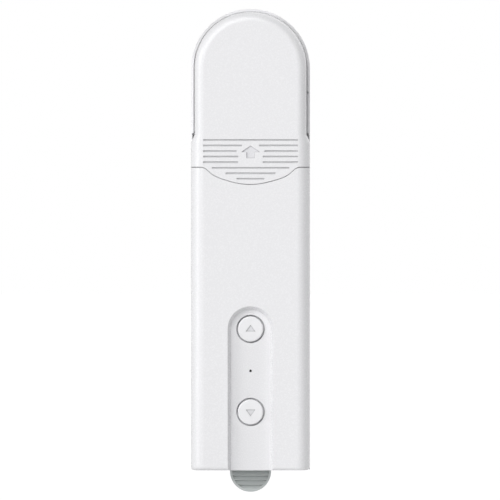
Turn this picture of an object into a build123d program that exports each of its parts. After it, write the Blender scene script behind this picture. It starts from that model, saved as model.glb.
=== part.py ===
"""Battery motor for a bead-chain roller shade.

X runs to the right and Z up, and the front looks towards -Y.
The pieces are drawn with heights above the unit's bottom edge and depths measured
forward from the wall, and each one is lowered by ORIGIN_HEIGHT when it is written.
That puts the origin on the wall face, at the middle of the adhesive pad.
All lengths are in millimetres.
"""
from build123d import *
import os
from math import acos, atan2, cos, degrees, pi, radians, sin, sqrt, tan

# Casing
UNIT_HALF_WIDTH = 24.2
UNIT_HEIGHT = 187.8
UNIT_BACK = 1.5
UNIT_FRONT = 35.8
PARTING_DEPTH = 19.0
WALL = 2.0
FRONT_CORNER = 5.2
REAR_CORNER = 1.5
BOTTOM_FILLET = 1.6
ARCH_HEIGHT = UNIT_HEIGHT - UNIT_HALF_WIDTH
INNER_HALF_WIDTH = UNIT_HALF_WIDTH - WALL
LIP_DEPTH = 1.2
LIP_THICKNESS = 1.0
HOOK_THICKNESS = 0.6
HOOK_LENGTH = 6.0
HOOK_DROP = 2.0
FIT_GAP = 0.2

# Cover over the chain wheel
COVER_INSET = 1.5
COVER_CORNER = FRONT_CORNER - COVER_INSET
COVER_WALL = 1.9
COVER_GAP = 0.2
FLARE_TOP = 136.4
FLARE_BOTTOM = 133.2
SEAM_SHOULDER = (20.6, 123.1)
SEAM_SLOPE = ((9.75, 117.75), (16.25, 120.7))
SEAM_LOW = 116.1
SEAM_GAP = 0.25
TONGUE_HALF_WIDTH = 18.8
TONGUE_THICKNESS = 1.1
TONGUE_TOP = 137.0
LEDGE_THICKNESS = 1.4
LEDGE_TOP = 136.0
NOTCH_START = 22.9
NOTCH_END = 78.0
NOTCH_FRONT = 31.2
SHADOW_GAP = 0.5
SHADOW_GAP_DEPTH = 1.2
POCKET_DEPTH = 3.0
FLARE_POCKET = (23.7, 133.2, 137.1)
CATCH_POCKET = (23.6, 153.3, 154.1)

# Grip lines and arrow in the cover, each line as height, outer and inner half width
GRIP_LINES = (
    (134.1, 19.2, 0.0),
    (131.9, 19.2, 3.5),
    (129.6, 19.2, 5.7),
    (127.4, 19.2, 5.0),
    (125.1, 19.2, 5.0),
    (122.8, 15.7, 0.0),
    (120.6, 10.1, 0.0),
    (118.4, 5.6, 0.0),
)
GRIP_LINE_WIDTH = 0.65
GRIP_LINE_DEPTH = 0.5
CUTTER_REACH = 1.0
ARROW_TIP = 131.9
ARROW_WING = 129.2
ARROW_FOOT = 126.8
ARROW_HALF_WIDTH = 3.8
ARROW_STEM_HALF_WIDTH = 1.65

# Front recess with the two buttons and the status light
BUTTON_HEIGHTS = (57.4, 23.7)
BUTTON_RADIUS = 5.16
BUTTON_HOLE_RADIUS = 5.75
BUTTON_FRONT = 33.6
BUTTON_FILLET = 0.6
BUTTON_SKIRT = 0.6
BUTTON_FLANGE_RADIUS = 6.7
BUTTON_FLANGE_THICKNESS = 0.8
BUTTON_FLANGE_GAP = 0.25
BUTTON_TRAVEL = 0.7
BUTTON_REST_GAP = 0.1
RECESS_OUTER_RADIUS = 9.25
RECESS_FLOOR_RADIUS = 8.0
RECESS_DEPTH = 3.3
RECESS_FLOOR = UNIT_FRONT - RECESS_DEPTH
RECESS_WALL = 1.8
TRIANGLE_HALF_WIDTH = 2.0
TRIANGLE_HEIGHT = 2.7
TRIANGLE_CENTRE_TO_BASE = 1.0
TRIANGLE_DEPTH = 0.4
LIGHT_HEIGHT = 40.4
LIGHT_RADIUS = 0.48
LIGHT_SINK = 0.1
LIGHT_COLLAR_RADIUS = 1.3
LIGHT_COLLAR_THICKNESS = 0.8

# Wall bracket, slide channel and ratchet rack
PAD_THICKNESS = 1.0
BRACKET_BOTTOM = 2.0
BRACKET_TOP = 92.0
ORIGIN_HEIGHT = (BRACKET_BOTTOM + BRACKET_TOP) / 2
TIGHTENING_TRAVEL = 18.0
BRACKET_WEB_HALF_WIDTH = 13.5
BRACKET_FLANGE_HALF_WIDTH = 17.0
BRACKET_FLANGE_BACK = 3.2
BRACKET_FRONT = 5.0
BRACKET_CORNER = 3.0
SLIDE_CLEARANCE = 0.3
CHANNEL_TOP_ROOM = 0.5
CHANNEL_TOP = BRACKET_TOP + TIGHTENING_TRAVEL + CHANNEL_TOP_ROOM
CHANNEL_WALL = 1.8
CHANNEL_FRONT = BRACKET_FRONT + SLIDE_CLEARANCE
CHANNEL_FLOOR = CHANNEL_FRONT + CHANNEL_WALL
RACK_PITCH = 3.6
RACK_TIP = 0.6
RACK_SLOPE = 1.8
RACK_ROOT_DEPTH = 3.4
RACK_HALF_WIDTH = 5.0
RACK_BITE = 0.2
SCREW_HOLE_RADIUS = 2.25
SCREW_HEAD_RADIUS = 4.2
SCREW_HEAD_SINK = 0.8
SCREW_SPACING = 40.0

# Release lever
LEVER_PIVOT_DEPTH = 9.0
LEVER_PIVOT_HEIGHT = 8.5
LEVER_BACK = 7.7
LEVER_THICKNESS = 2.0
LEVER_HALF_WIDTH = 8.2
LEVER_TOP = 20.0
TAB_RADIUS = 8.4
TAB_CENTRE_HEIGHT = -1.0
TAB_THICKNESS = 2.6
TAB_RIM = 1.0
TAB_STEPS = 4
TAB_STEP_PITCH = 1.87
TAB_STEP_RISE = 0.45
TAB_STEP_LAND = 0.15
TAB_STEP_DEPTH = 0.9
TAB_TOP = -0.3
TAB_FIRST_STEP = -0.7
LEVER_BARREL_WALL = 1.2
LEVER_SIDE_GAP = 0.6
LEVER_SWING_ROOM = 1.1
LEVER_FRONT_ROOM = 0.6
LEVER_WINDOW_TOP = 11.1
EAR_THICKNESS = 2.2
EAR_HALF_HEIGHT = 2.2
EAR_ROOT = 0.5
WINDOW_BELOW_PAWL = 3.8
WINDOW_ABOVE_PAWL = 1.6
PAWL_TIP_DEPTH = 3.7
PAWL_TOP = 19.4
PAWL_HALF_WIDTH = 4.0
PAWL_CLEARANCE = 0.8
PAWL_TIP = 0.5
PAWL_NECK_GAP = 0.2
PIVOT_PIN_RADIUS = 1.0
SPRING_THICKNESS = 0.3
SPRING_HALF_WIDTH = 3.0
SPRING_BEND_POINTS = ((13.5, WALL), (13.5, 6.0), (10.1, 14.5), (10.8, 17.5))

# Motor and gear train
WHEEL_HEIGHT = ARCH_HEIGHT
BEAD_COUNT = 14
BEAD_PITCH = 6.0
BEAD_RADIUS = 2.25
BEAD_PITCH_RADIUS = BEAD_PITCH / (2 * sin(pi / BEAD_COUNT))
BEAD_CLEARANCE = 0.25
LINK_GROOVE_WIDTH = 1.8
LINK_GROOVE_DEPTH = 2.2
SPROCKET_RADIUS = 15.0
HUB_SINK = 1.2
HUB_SINK_RADIUS = 8.0
SPROCKET_BACK = 23.6
SPROCKET_FRONT = 32.2
WASHER_RADIUS = 5.0
WASHER_THICKNESS = 0.5
SPROCKET_SCREW_RADIUS = 2.2
SPROCKET_SCREW_HEIGHT = 1.4
MAGNET_RADIUS = 2.5
MAGNET_THICKNESS = 1.6
OUTPUT_TEETH, OUTPUT_MODULE = 30, 1.0
PINION_TEETH = 10
REDUCTION_TEETH, REDUCTION_MODULE = 32, 0.8
WORM_WHEEL_TEETH, WORM_MODULE = 30, 0.6
OUTPUT_GEAR_DEPTHS = (15.0, 20.0)
OUTPUT_HUB_RADIUS = 5.0
OUTPUT_HUB_DEPTHS = (12.0, 20.3)
OUTPUT_WINDOWS = 6
OUTPUT_WINDOW_RADIUS = 2.4
OUTPUT_WINDOW_CIRCLE = 9.2
REDUCTION_SMALL_DEPTHS = (14.0, 20.0)
REDUCTION_LARGE_DEPTHS = (10.2, 14.2)
WORM_WHEEL_WIDTH = 6.0
WORM_PINION_DEPTHS = (10.2, 17.6)
WORM_COLLAR = 1.2
WORM_ROOT_BITE = 0.2
MOTOR_SHAFT_RADIUS = 1.0
MOTOR_SHAFT_END = 1.0
WORM_PITCH_RADIUS = 4.0
WORM_LENGTH = 7.5
PRESSURE_ANGLE = radians(20)
ADDENDUM = 0.8
DEDENDUM = 1.15
TOOTH_THINNING = 0.11
REDUCTION_X = -5.0
WORM_WHEEL_X = 5.0
WORM_DEPTH = 20.5
MOTOR_RADIUS = 12.2
MOTOR_LENGTH = 30.5
MOTOR_FACE = 118.7
MOTOR_BOSS_RADIUS = 3.4
MOTOR_BOSS_HEIGHT = 1.4
MOTOR_CAP_HEIGHT = 3.0
MOTOR_CAP_INSET = 0.4
MOTOR_TERMINAL_X = 6.5
MOTOR_TERMINAL_HALF_WIDTH = 1.2
MOTOR_TERMINAL_HALF_DEPTH = 0.25
MOTOR_TERMINAL_LENGTH = 0.6
MOTOR_SCREW_X = 8.0
MOTOR_TAP_DEPTH = 3.5
SHAFT_CLEARANCE = 0.05
AXLE_RADIUS = 1.5
OUTPUT_SHAFT_RADIUS = 3.0
BUSH_RADIUS = 4.4
BUSH_FLANGE_RADIUS = 5.0
BUSH_FLANGE_THICKNESS = 0.5
BUSH_FIT = 0.02

OUTPUT_CENTRE = (0.0, WHEEL_HEIGHT)
OUTPUT_DISTANCE = OUTPUT_MODULE * (OUTPUT_TEETH + PINION_TEETH) / 2
REDUCTION_CENTRE = (REDUCTION_X, WHEEL_HEIGHT - sqrt(OUTPUT_DISTANCE**2 - REDUCTION_X**2))
REDUCTION_DISTANCE = REDUCTION_MODULE * (REDUCTION_TEETH + PINION_TEETH) / 2
REDUCTION_RUN = WORM_WHEEL_X - REDUCTION_X
WORM_WHEEL_CENTRE = (
    WORM_WHEEL_X,
    REDUCTION_CENTRE[1] - sqrt(REDUCTION_DISTANCE**2 - REDUCTION_RUN**2),
)
WORM_WHEEL_RADIUS = WORM_MODULE * WORM_WHEEL_TEETH / 2
WORM_X = WORM_WHEEL_X - WORM_WHEEL_RADIUS - WORM_PITCH_RADIUS

# Gearbox housing
HOUSING_HALF_WIDTH = 20.4
HOUSING_WALL = 1.5
HOUSING_BACK = 9.4
LID_THICKNESS = 1.8
SHELF_THICKNESS = 1.6
STEP_HEIGHT = 142.5
DEEP_FRONT = 27.4
SHALLOW_FRONT = 22.1
GUIDE_RADIUS = 16.6
GUIDE_WALL = 1.8
GUIDE_TOP = 171.0
GUIDE_FRONT = 33.0
RIB_BACK = 22.7
RIB_FRONT = 23.6
RIB_REACH = 1.5
RIB_BOTTOM = 145.0
RIB_GROOVE_GAP = 0.3
RAIL_STEP = 4.0
RAIL_FRONT = 25.2
BEARING_BOSS_RADIUS = 5.6
BEARING_BOSS_HEIGHT = 0.6
HOUSING_BOSS_FRONT = 14.2

# Screws: places seen from the front, then length, head radius and head height
LID_SCREW_PLACES = ((-17.2, 122.6), (17.2, 122.6))
LID_SCREW = (5.5, 1.7, 0.4)
CHASSIS_SCREW_PLACES = ((-12.2, 175.7), (12.2, 175.7))
CHASSIS_SCREW = (10.0, 1.6, 0.9)
CASE_SCREW_PLACES = ((-19.7, 8.0), (19.7, 8.0))
CASE_SCREW = (22.0, 1.6, 1.2)
BOARD_SCREW_PLACES = ((17.4, 17.0), (-17.4, 83.0))
BOARD_SCREW = (5.0, 1.7, 0.9)
MOTOR_SCREW = (4.0, 1.9, 1.1)
SCREW_RADIUS = 0.8
SCREW_TAP_GAP = 0.05
SCREW_CLEARANCE = 0.15
SCREW_HEAD_CLEARANCE = 0.2
BOSS_RADIUS = 2.2
BOSS_HOLE_RADIUS = SCREW_RADIUS + SCREW_TAP_GAP
BOSS_GAP = 0.1

# Battery and circuit board
CELL_RADIUS = 9.2
CELL_LENGTH = 65.0
CELL_BOTTOM = 22.0
CELL_X = 9.7
CELL_DEPTH = 17.0
BOARD_FRONT = 28.6
BOARD_THICKNESS = 1.2
BOARD_HALF_WIDTH = 20.0
BOARD_BOTTOM = 13.0
BOARD_TOP = 87.0
BOARD_TONGUE_HALF_WIDTH = 13.5
BOARD_TONGUE_BOTTOM = 5.0
SWITCH_HALF_SIZE = 3.0
SWITCH_BODY = 1.0
SWITCH_HEIGHT = 1.5
SWITCH_PLUNGER_RADIUS = 1.6
LED_HALF_SIZE = (0.8, 0.5)
LED_HEIGHT = 0.6
LED_GAP = 0.4
SHIELD_LEFT = -14.0
SHIELD_BOTTOM = 66.0
SHIELD_SIZE = 16.0
SHIELD_HEIGHT = 1.8
SHIELD_WALL = 0.3
SHIELD_CORNER = 0.8
CHIP_HEIGHT = 1.1
CHIPS = (
    (11.0, 74.0, 3.5, 3.5),
    (14.0, 60.0, 2.5, 2.0),
    (14.0, 46.0, 2.0, 2.0),
    (-14.0, 46.0, 2.0, 3.0),
)
USB_HALF_WIDTH = 4.5
USB_HALF_HEIGHT = 1.6
USB_WALL = 0.3
USB_BOTTOM = 0.3
USB_LENGTH = 7.4
USB_BASE = 1.0
USB_TONGUE_HALF_WIDTH = 3.3
USB_TONGUE_HALF_DEPTH = 0.35
USB_DEPTH = BOARD_FRONT - BOARD_THICKNESS - USB_HALF_HEIGHT


def block(x_from, x_to, depth_from, depth_to, low, high):
    """A plain block between two sides, two depths and two heights."""
    size = (x_to - x_from, depth_to - depth_from, high - low)
    centre = ((x_from + x_to) / 2, -(depth_from + depth_to) / 2, (low + high) / 2)
    return Pos(*centre) * Box(*size)


def prism(outline, depth_from, depth_to):
    """An outline drawn as seen from the front, run forward between two depths."""
    return extrude(Plane.XZ.offset(depth_from) * outline, depth_to - depth_from)


def rod(radius, depth_from, depth_to, x=0.0, height=0.0):
    """A round bar that runs forward."""
    return prism(Pos(x, height) * Circle(radius), depth_from, depth_to)


def post(radius, x, depth, low, high):
    """A round bar that stands upright."""
    return extrude(Pos(x, -depth, low) * Circle(radius), high - low)


def both_sides(shape):
    """A shape with its mirror image on the other side of the middle plane."""
    return shape + mirror(shape, Plane.YZ)


def plan(half_width, back, front, corner):
    """Level section of the casing, with rounded corners in front."""
    outline = Pos(0, -(back + front) / 2) * Rectangle(2 * half_width, front - back)
    return fillet(outline.vertices().group_by(Axis.Y)[0], corner)


def casing_form(half_width, back, front, corner, bottom):
    """The casing's column with its half-round top."""
    section = plan(half_width, back, front, corner)
    column = extrude(Pos(0, 0, bottom) * section, ARCH_HEIGHT - bottom)
    right = section & (Pos(half_width / 2, -(back + front) / 2) * Rectangle(half_width, front))
    arch = revolve(Pos(0, 0, ARCH_HEIGHT) * right, Axis((0, 0, ARCH_HEIGHT), (0, -1, 0)), 180)
    return column + arch


def arch_outline(half_width, bottom):
    """A slab with a half-round top, seen from the front."""
    straight = Pos(0, (bottom + ARCH_HEIGHT) / 2) * Rectangle(2 * half_width, ARCH_HEIGHT - bottom)
    return straight + Pos(0, ARCH_HEIGHT) * Circle(half_width)


def seam_space(lowered):
    """Everything in front of the parting plane and above the cover's curved lower edge."""
    side, shoulder = SEAM_SHOULDER
    reach = UNIT_HALF_WIDTH + WALL
    rising = [(0, SEAM_LOW), *SEAM_SLOPE, SEAM_SHOULDER]
    falling = [(-x, height) for x, height in reversed(rising)]
    left = Spline(falling, tangents=[(1, 0), (1, 0)])
    right = Spline(rising, tangents=[(1, 0), (1, 0)])
    top = UNIT_HEIGHT + WALL
    rest = Polyline((side, shoulder), (reach, shoulder), (reach, top), (-reach, top),
                    (-reach, shoulder), (-side, shoulder))
    region = make_face([left, right, rest])
    return prism(Pos(0, -lowered) * region, PARTING_DEPTH - LIP_DEPTH - WALL, UNIT_FRONT + WALL)


def recess_form(floor_depth, outer_radius, floor_radius, front):
    """The drafted recess: a half cone over a sloping-sided groove that runs down."""
    top = BUTTON_HEIGHTS[0]
    low = -WALL
    sides = Polyline(
        (-outer_radius, -front), (outer_radius, -front),
        (floor_radius, -floor_depth), (-floor_radius, -floor_depth), close=True,
    )
    groove = extrude(Pos(0, 0, low) * make_face(sides), top - low)
    half = make_face(Polyline(
        (0, -front), (outer_radius, -front), (floor_radius, -floor_depth), (0, -floor_depth),
        close=True,
    ))
    round_top = revolve(Pos(0, 0, top) * half, Axis((0, 0, top), (0, -1, 0)), 180)
    return groove + round_top


def front_shell():
    """Front half of the casing, with the button recess and the ledge under the cover."""
    body = extrude(plan(UNIT_HALF_WIDTH, PARTING_DEPTH, UNIT_FRONT, FRONT_CORNER), LEDGE_TOP)
    lower_edges = body.edges().group_by(Axis.Z)[0]
    rear_edge = lower_edges.sort_by(Axis.Y)[-1]
    body = fillet([edge for edge in lower_edges if edge != rear_edge], BOTTOM_FILLET)
    hollow = plan(INNER_HALF_WIDTH, PARTING_DEPTH - WALL, UNIT_FRONT - WALL, FRONT_CORNER - WALL)
    body -= extrude(Pos(0, 0, WALL) * hollow, LEDGE_TOP)
    tray = recess_form(RECESS_FLOOR - RECESS_WALL, RECESS_OUTER_RADIUS + RECESS_WALL,
                       RECESS_FLOOR_RADIUS + RECESS_WALL, UNIT_FRONT)
    body += tray & block(-UNIT_HALF_WIDTH, UNIT_HALF_WIDTH, PARTING_DEPTH,
                         UNIT_FRONT - WALL / 2, WALL / 2, FLARE_BOTTOM)
    body -= recess_form(RECESS_FLOOR, RECESS_OUTER_RADIUS, RECESS_FLOOR_RADIUS, UNIT_FRONT)
    body -= seam_space(SEAM_GAP / 2)
    ledge_front = UNIT_FRONT - TONGUE_THICKNESS - COVER_GAP
    body += block(-TONGUE_HALF_WIDTH + COVER_GAP, TONGUE_HALF_WIDTH - COVER_GAP,
                  ledge_front - LEDGE_THICKNESS, ledge_front,
                  SEAM_LOW - 2 * WALL, LEDGE_TOP)
    body += assembly_tongue()
    for x, height in BOARD_SCREW_PLACES:
        body += rod(BOSS_RADIUS, BOARD_FRONT, UNIT_FRONT - WALL / 2, x, height)
        body -= rod(BOSS_HOLE_RADIUS, BOARD_FRONT, UNIT_FRONT - WALL, x, height)
    for x, height in CASE_SCREW_PLACES:
        body += rod(BOSS_RADIUS, PARTING_DEPTH - LIP_DEPTH, UNIT_FRONT - WALL / 2, x, height)
        body -= rod(BOSS_HOLE_RADIUS, 0, UNIT_FRONT - 2 * WALL, x, height)
    for height in BUTTON_HEIGHTS:
        body -= rod(BUTTON_HOLE_RADIUS, BOARD_FRONT, UNIT_FRONT, 0, height)
    body -= rod(LIGHT_RADIUS + SHAFT_CLEARANCE, BOARD_FRONT, UNIT_FRONT, 0, LIGHT_HEIGHT)
    socket = SlotOverall(2 * (USB_HALF_WIDTH + COVER_GAP), 2 * (USB_HALF_HEIGHT + COVER_GAP))
    body -= extrude(Pos(0, -USB_DEPTH, -WALL) * socket, 2 * WALL + LIP_THICKNESS)
    return body


def assembly_tongue():
    """The thin tongue that reaches into the rear shell round the sides and the bottom."""
    outer_x = INNER_HALF_WIDTH - SHAFT_CLEARANCE
    inner_x = outer_x - LIP_THICKNESS
    back = PARTING_DEPTH - LIP_DEPTH
    front = PARTING_DEPTH + LIP_DEPTH
    low = WALL + SHAFT_CLEARANCE
    ring = block(-outer_x, outer_x, back, PARTING_DEPTH, low, SEAM_LOW)
    root = block(-outer_x - LIP_THICKNESS, outer_x + LIP_THICKNESS, PARTING_DEPTH, front,
                 low - LIP_THICKNESS, SEAM_LOW)
    room = block(-inner_x, inner_x, back, front, low + LIP_THICKNESS, SEAM_LOW)
    return ring + root - room + both_sides(assembly_hook(0))


def assembly_hook(growth):
    """The catch on the tongue's side, or with some growth the room for it."""
    face = INNER_HALF_WIDTH - SHAFT_CLEARANCE
    back = PARTING_DEPTH - LIP_DEPTH + FIT_GAP
    top = SEAM_LOW - HOOK_DROP
    return block(face - LIP_THICKNESS, face + LIP_THICKNESS / 2 + growth, back - growth,
                 back + HOOK_THICKNESS + growth, top - HOOK_LENGTH - growth, top + growth)


def rear_shell():
    """Rear half of the casing, with the channel that slides down over the wall bracket."""
    body = casing_form(UNIT_HALF_WIDTH, UNIT_BACK, UNIT_FRONT, FRONT_CORNER, 0)
    body &= block(-UNIT_HALF_WIDTH, UNIT_HALF_WIDTH, UNIT_BACK, PARTING_DEPTH, 0, UNIT_HEIGHT)
    body = fillet(body.edges().filter_by_position(Axis.Y, -UNIT_BACK, -UNIT_BACK), REAR_CORNER)
    hollow = arch_outline(INNER_HALF_WIDTH, WALL)
    body -= prism(hollow, UNIT_BACK + WALL, PARTING_DEPTH)
    body -= cover_groove()
    channel = BRACKET_FLANGE_HALF_WIDTH + SLIDE_CLEARANCE
    body += block(-channel - WALL, channel + WALL, UNIT_BACK + WALL / 2, CHANNEL_FLOOR,
                  WALL / 2, CHANNEL_TOP + WALL)
    body -= block(-channel, channel, BRACKET_FLANGE_BACK - SLIDE_CLEARANCE, CHANNEL_FRONT,
                  -WALL, CHANNEL_TOP)
    slot = BRACKET_WEB_HALF_WIDTH + SLIDE_CLEARANCE
    body -= block(-slot, slot, 0, CHANNEL_FRONT, -WALL, CHANNEL_TOP)
    body -= pawl_window()
    body -= lever_opening()
    body += both_sides(lever_ear()) - pivot_bar(PIVOT_PIN_RADIUS + SHAFT_CLEARANCE / 2)
    for x, height in CASE_SCREW_PLACES:
        body += rod(BOSS_RADIUS, UNIT_BACK + WALL / 2, PARTING_DEPTH - LIP_DEPTH - BOSS_GAP, x, height)
        body -= screw_way(x, height, UNIT_BACK + WALL, CASE_SCREW)
    for x, height in CHASSIS_SCREW_PLACES:
        body += rod(BOSS_RADIUS, UNIT_BACK + WALL, HOUSING_BACK - LID_THICKNESS, x, height)
        body -= screw_way(x, height, UNIT_BACK + WALL / 2, CHASSIS_SCREW)
    return body - both_sides(assembly_hook(FIT_GAP))


def cover_groove():
    """Shadow gap in the rear shell's rim round the cover, with pockets above the flare and at the catch."""
    outline = arch_outline(UNIT_HALF_WIDTH - COVER_INSET + SHADOW_GAP, FLARE_BOTTOM)
    groove = prism(outline, PARTING_DEPTH - SHADOW_GAP_DEPTH, PARTING_DEPTH)
    back = PARTING_DEPTH - POCKET_DEPTH
    outer, low, high = FLARE_POCKET
    groove += both_sides(block(UNIT_HALF_WIDTH / 2, outer, back, PARTING_DEPTH, low, high))
    outer, low, high = CATCH_POCKET
    return groove + block(UNIT_HALF_WIDTH / 2, outer, back, PARTING_DEPTH, low, high)


def screw_way(x, height, seat, screw):
    """Hole through a boss for a screw, with a wider one behind the seat for its head."""
    head_radius = screw[1] + SCREW_HEAD_CLEARANCE
    return rod(SCREW_RADIUS + SCREW_CLEARANCE, 0, PARTING_DEPTH, x, height) + rod(head_radius, 0, seat,
                                                                                  x, height)


def pawl_window():
    """Window in the channel's wall where the pawl reaches the rack."""
    half = PAWL_HALF_WIDTH + LEVER_SIDE_GAP
    return block(-half, half, CHANNEL_FRONT - CUTTER_REACH, CHANNEL_FLOOR + CUTTER_REACH,
                 PAWL_TOP - WINDOW_BELOW_PAWL, PAWL_TOP + WINDOW_ABOVE_PAWL)


def lever_opening():
    """Slot in the bottom for the lever, with room for it to swing towards the wall."""
    half = LEVER_HALF_WIDTH + LEVER_SIDE_GAP
    back = CHANNEL_FLOOR - LEVER_SWING_ROOM
    slot = block(-half, half, back, LEVER_BACK + TAB_THICKNESS + LEVER_FRONT_ROOM, -WALL, WALL)
    return slot + block(-half, half, back, CHANNEL_FLOOR + BOSS_GAP, 0, LEVER_WINDOW_TOP)


def lever_ear():
    """One of the two ears that carry the lever's pin."""
    inner = LEVER_HALF_WIDTH + LEVER_SIDE_GAP
    outer = inner + EAR_THICKNESS
    ear = block(inner, outer, CHANNEL_FLOOR - EAR_ROOT, LEVER_PIVOT_DEPTH,
                LEVER_PIVOT_HEIGHT - EAR_HALF_HEIGHT, LEVER_PIVOT_HEIGHT + EAR_HALF_HEIGHT)
    return ear + across(EAR_HALF_HEIGHT, inner, outer)


def across(radius, x_from, x_to):
    """A round bar on the lever's pivot line."""
    start = Plane((x_from, -LEVER_PIVOT_DEPTH, LEVER_PIVOT_HEIGHT), x_dir=(0, 1, 0), z_dir=(1, 0, 0))
    return extrude(start * Circle(radius), x_to - x_from)


def pivot_bar(radius):
    """A round bar on the lever's pivot line, from the outside of one ear to the other."""
    reach = LEVER_HALF_WIDTH + LEVER_SIDE_GAP + EAR_THICKNESS
    return across(radius, -reach, reach)


def lever_pin():
    """The lever's pivot pin, from ear to ear."""
    return pivot_bar(PIVOT_PIN_RADIUS)


def cover():
    """Sliding cover over the chain wheel, with notches for the chain on both shoulders."""
    half = UNIT_HALF_WIDTH - COVER_INSET
    back = PARTING_DEPTH + COVER_GAP
    body = casing_form(half, back, UNIT_FRONT, COVER_CORNER, FLARE_BOTTOM)
    wide = plan(UNIT_HALF_WIDTH, back, UNIT_FRONT, FRONT_CORNER)
    narrow = plan(half, back, UNIT_FRONT, COVER_CORNER)
    body += extrude(Pos(0, 0, SEAM_LOW - WALL) * wide, FLARE_BOTTOM - SEAM_LOW + WALL)
    body += loft([Pos(0, 0, FLARE_BOTTOM) * wide, Pos(0, 0, FLARE_TOP) * narrow], ruled=True)
    inner_front = UNIT_FRONT - COVER_WALL
    inner_corner = COVER_CORNER - COVER_WALL
    low = SEAM_LOW - 2 * WALL
    body -= casing_form(half - COVER_WALL, back - WALL, inner_front, inner_corner, low)
    skirt_room = plan(UNIT_HALF_WIDTH - COVER_WALL, back - WALL, inner_front, inner_corner)
    body -= extrude(Pos(0, 0, low) * skirt_room, FLARE_BOTTOM - SEAM_LOW + WALL)
    body &= seam_space(-SEAM_GAP / 2)
    body -= block(-TONGUE_HALF_WIDTH, TONGUE_HALF_WIDTH, inner_front - WALL,
                  UNIT_FRONT - TONGUE_THICKNESS, SEAM_LOW - WALL, TONGUE_TOP)
    rib_face = half - COVER_WALL
    body += both_sides(block(rib_face - RIB_REACH, rib_face + COVER_WALL / 2, RIB_BACK, RIB_FRONT,
                             RIB_BOTTOM, ARCH_HEIGHT))
    body -= both_sides(chain_notch())
    for line in GRIP_LINES:
        body -= grip_line(*line)
    return body - arrow()


def chain_notch():
    """Notch in the cover's shoulder, from its rear edge to beyond the chain."""
    band = Circle(UNIT_HALF_WIDTH + WALL) - Circle(UNIT_HALF_WIDTH - 3 * WALL)
    reach = 2 * UNIT_HALF_WIDTH
    ends = [radians(NOTCH_START), radians(NOTCH_END)]
    wedge = make_face(Polyline((0, 0), *[(reach * sin(end), reach * cos(end)) for end in ends],
                               close=True))
    return prism(Pos(0, ARCH_HEIGHT) * (band & wedge), PARTING_DEPTH, NOTCH_FRONT)


def grip_line(height, outer, inner):
    """One engraved grip line, broken in the middle where the arrow stands."""
    front = UNIT_FRONT - GRIP_LINE_DEPTH
    low, high = height - GRIP_LINE_WIDTH / 2, height + GRIP_LINE_WIDTH / 2
    if inner == 0:
        return block(-outer, outer, front, UNIT_FRONT + CUTTER_REACH, low, high)
    return both_sides(block(inner, outer, front, UNIT_FRONT + CUTTER_REACH, low, high))


def arrow():
    """Engraved arrow that shows which way the cover slides off."""
    outline = Polyline(
        (0, ARROW_TIP), (ARROW_HALF_WIDTH, ARROW_WING), (ARROW_STEM_HALF_WIDTH, ARROW_WING),
        (ARROW_STEM_HALF_WIDTH, ARROW_FOOT), (-ARROW_STEM_HALF_WIDTH, ARROW_FOOT),
        (-ARROW_STEM_HALF_WIDTH, ARROW_WING), (-ARROW_HALF_WIDTH, ARROW_WING), close=True,
    )
    return prism(make_face(outline), UNIT_FRONT - GRIP_LINE_DEPTH, UNIT_FRONT + CUTTER_REACH)


def button(height, way):
    """A round push button: crowned cap, skirt, retaining flange and a sunk triangle."""
    flange_front = RECESS_FLOOR - RECESS_WALL - BUTTON_FLANGE_GAP
    flange_back = flange_front - BUTTON_FLANGE_THICKNESS
    rear = BOARD_FRONT + SWITCH_HEIGHT + BUTTON_TRAVEL + BUTTON_REST_GAP
    cap = rod(BUTTON_RADIUS, flange_back, BUTTON_FRONT)
    cap = fillet(cap.edges().sort_by(Axis.Y)[0], BUTTON_FILLET)
    cap += rod(BUTTON_FLANGE_RADIUS, flange_back, flange_front)
    cap -= rod(BUTTON_RADIUS - BUTTON_SKIRT, flange_back, rear)
    base = -TRIANGLE_CENTRE_TO_BASE * way
    tip = base + TRIANGLE_HEIGHT * way
    triangle = Polyline((-TRIANGLE_HALF_WIDTH, base), (TRIANGLE_HALF_WIDTH, base), (0, tip), close=True)
    sign = prism(make_face(triangle), BUTTON_FRONT - TRIANGLE_DEPTH, BUTTON_FRONT + CUTTER_REACH)
    return Pos(0, 0, height) * (cap - sign)


def up_button():
    """Upper button, with its triangle pointing up."""
    return button(BUTTON_HEIGHTS[0], 1)


def down_button():
    """Lower button, with its triangle pointing down."""
    return button(BUTTON_HEIGHTS[1], -1)


def status_light_guide():
    """Clear pin that carries the light from the board to the face."""
    inner = RECESS_FLOOR - RECESS_WALL
    pin = rod(LIGHT_RADIUS, BOARD_FRONT + LED_HEIGHT + LED_GAP, RECESS_FLOOR - LIGHT_SINK, 0, LIGHT_HEIGHT)
    return pin + rod(LIGHT_COLLAR_RADIUS, inner - LIGHT_COLLAR_THICKNESS, inner, 0, LIGHT_HEIGHT)


def wall_bracket():
    """Plate with slide flanges, a toothed middle groove and two countersunk screw holes."""
    body = prism(bracket_outline(BRACKET_WEB_HALF_WIDTH), PAD_THICKNESS, BRACKET_FLANGE_BACK)
    body += prism(bracket_outline(BRACKET_FLANGE_HALF_WIDTH), BRACKET_FLANGE_BACK, BRACKET_FRONT)
    body -= block(-RACK_HALF_WIDTH, RACK_HALF_WIDTH, RACK_ROOT_DEPTH, BRACKET_FRONT,
                  BRACKET_BOTTOM, BRACKET_TOP)
    for underside in rack_heights():
        body += rack_tooth(underside)
    for height in screw_hole_heights():
        body -= rod(SCREW_HOLE_RADIUS, 0, BRACKET_FRONT, 0, height)
        body -= rod(SCREW_HEAD_RADIUS, RACK_ROOT_DEPTH - SCREW_HEAD_SINK, BRACKET_FRONT, 0, height)
    return body


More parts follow.
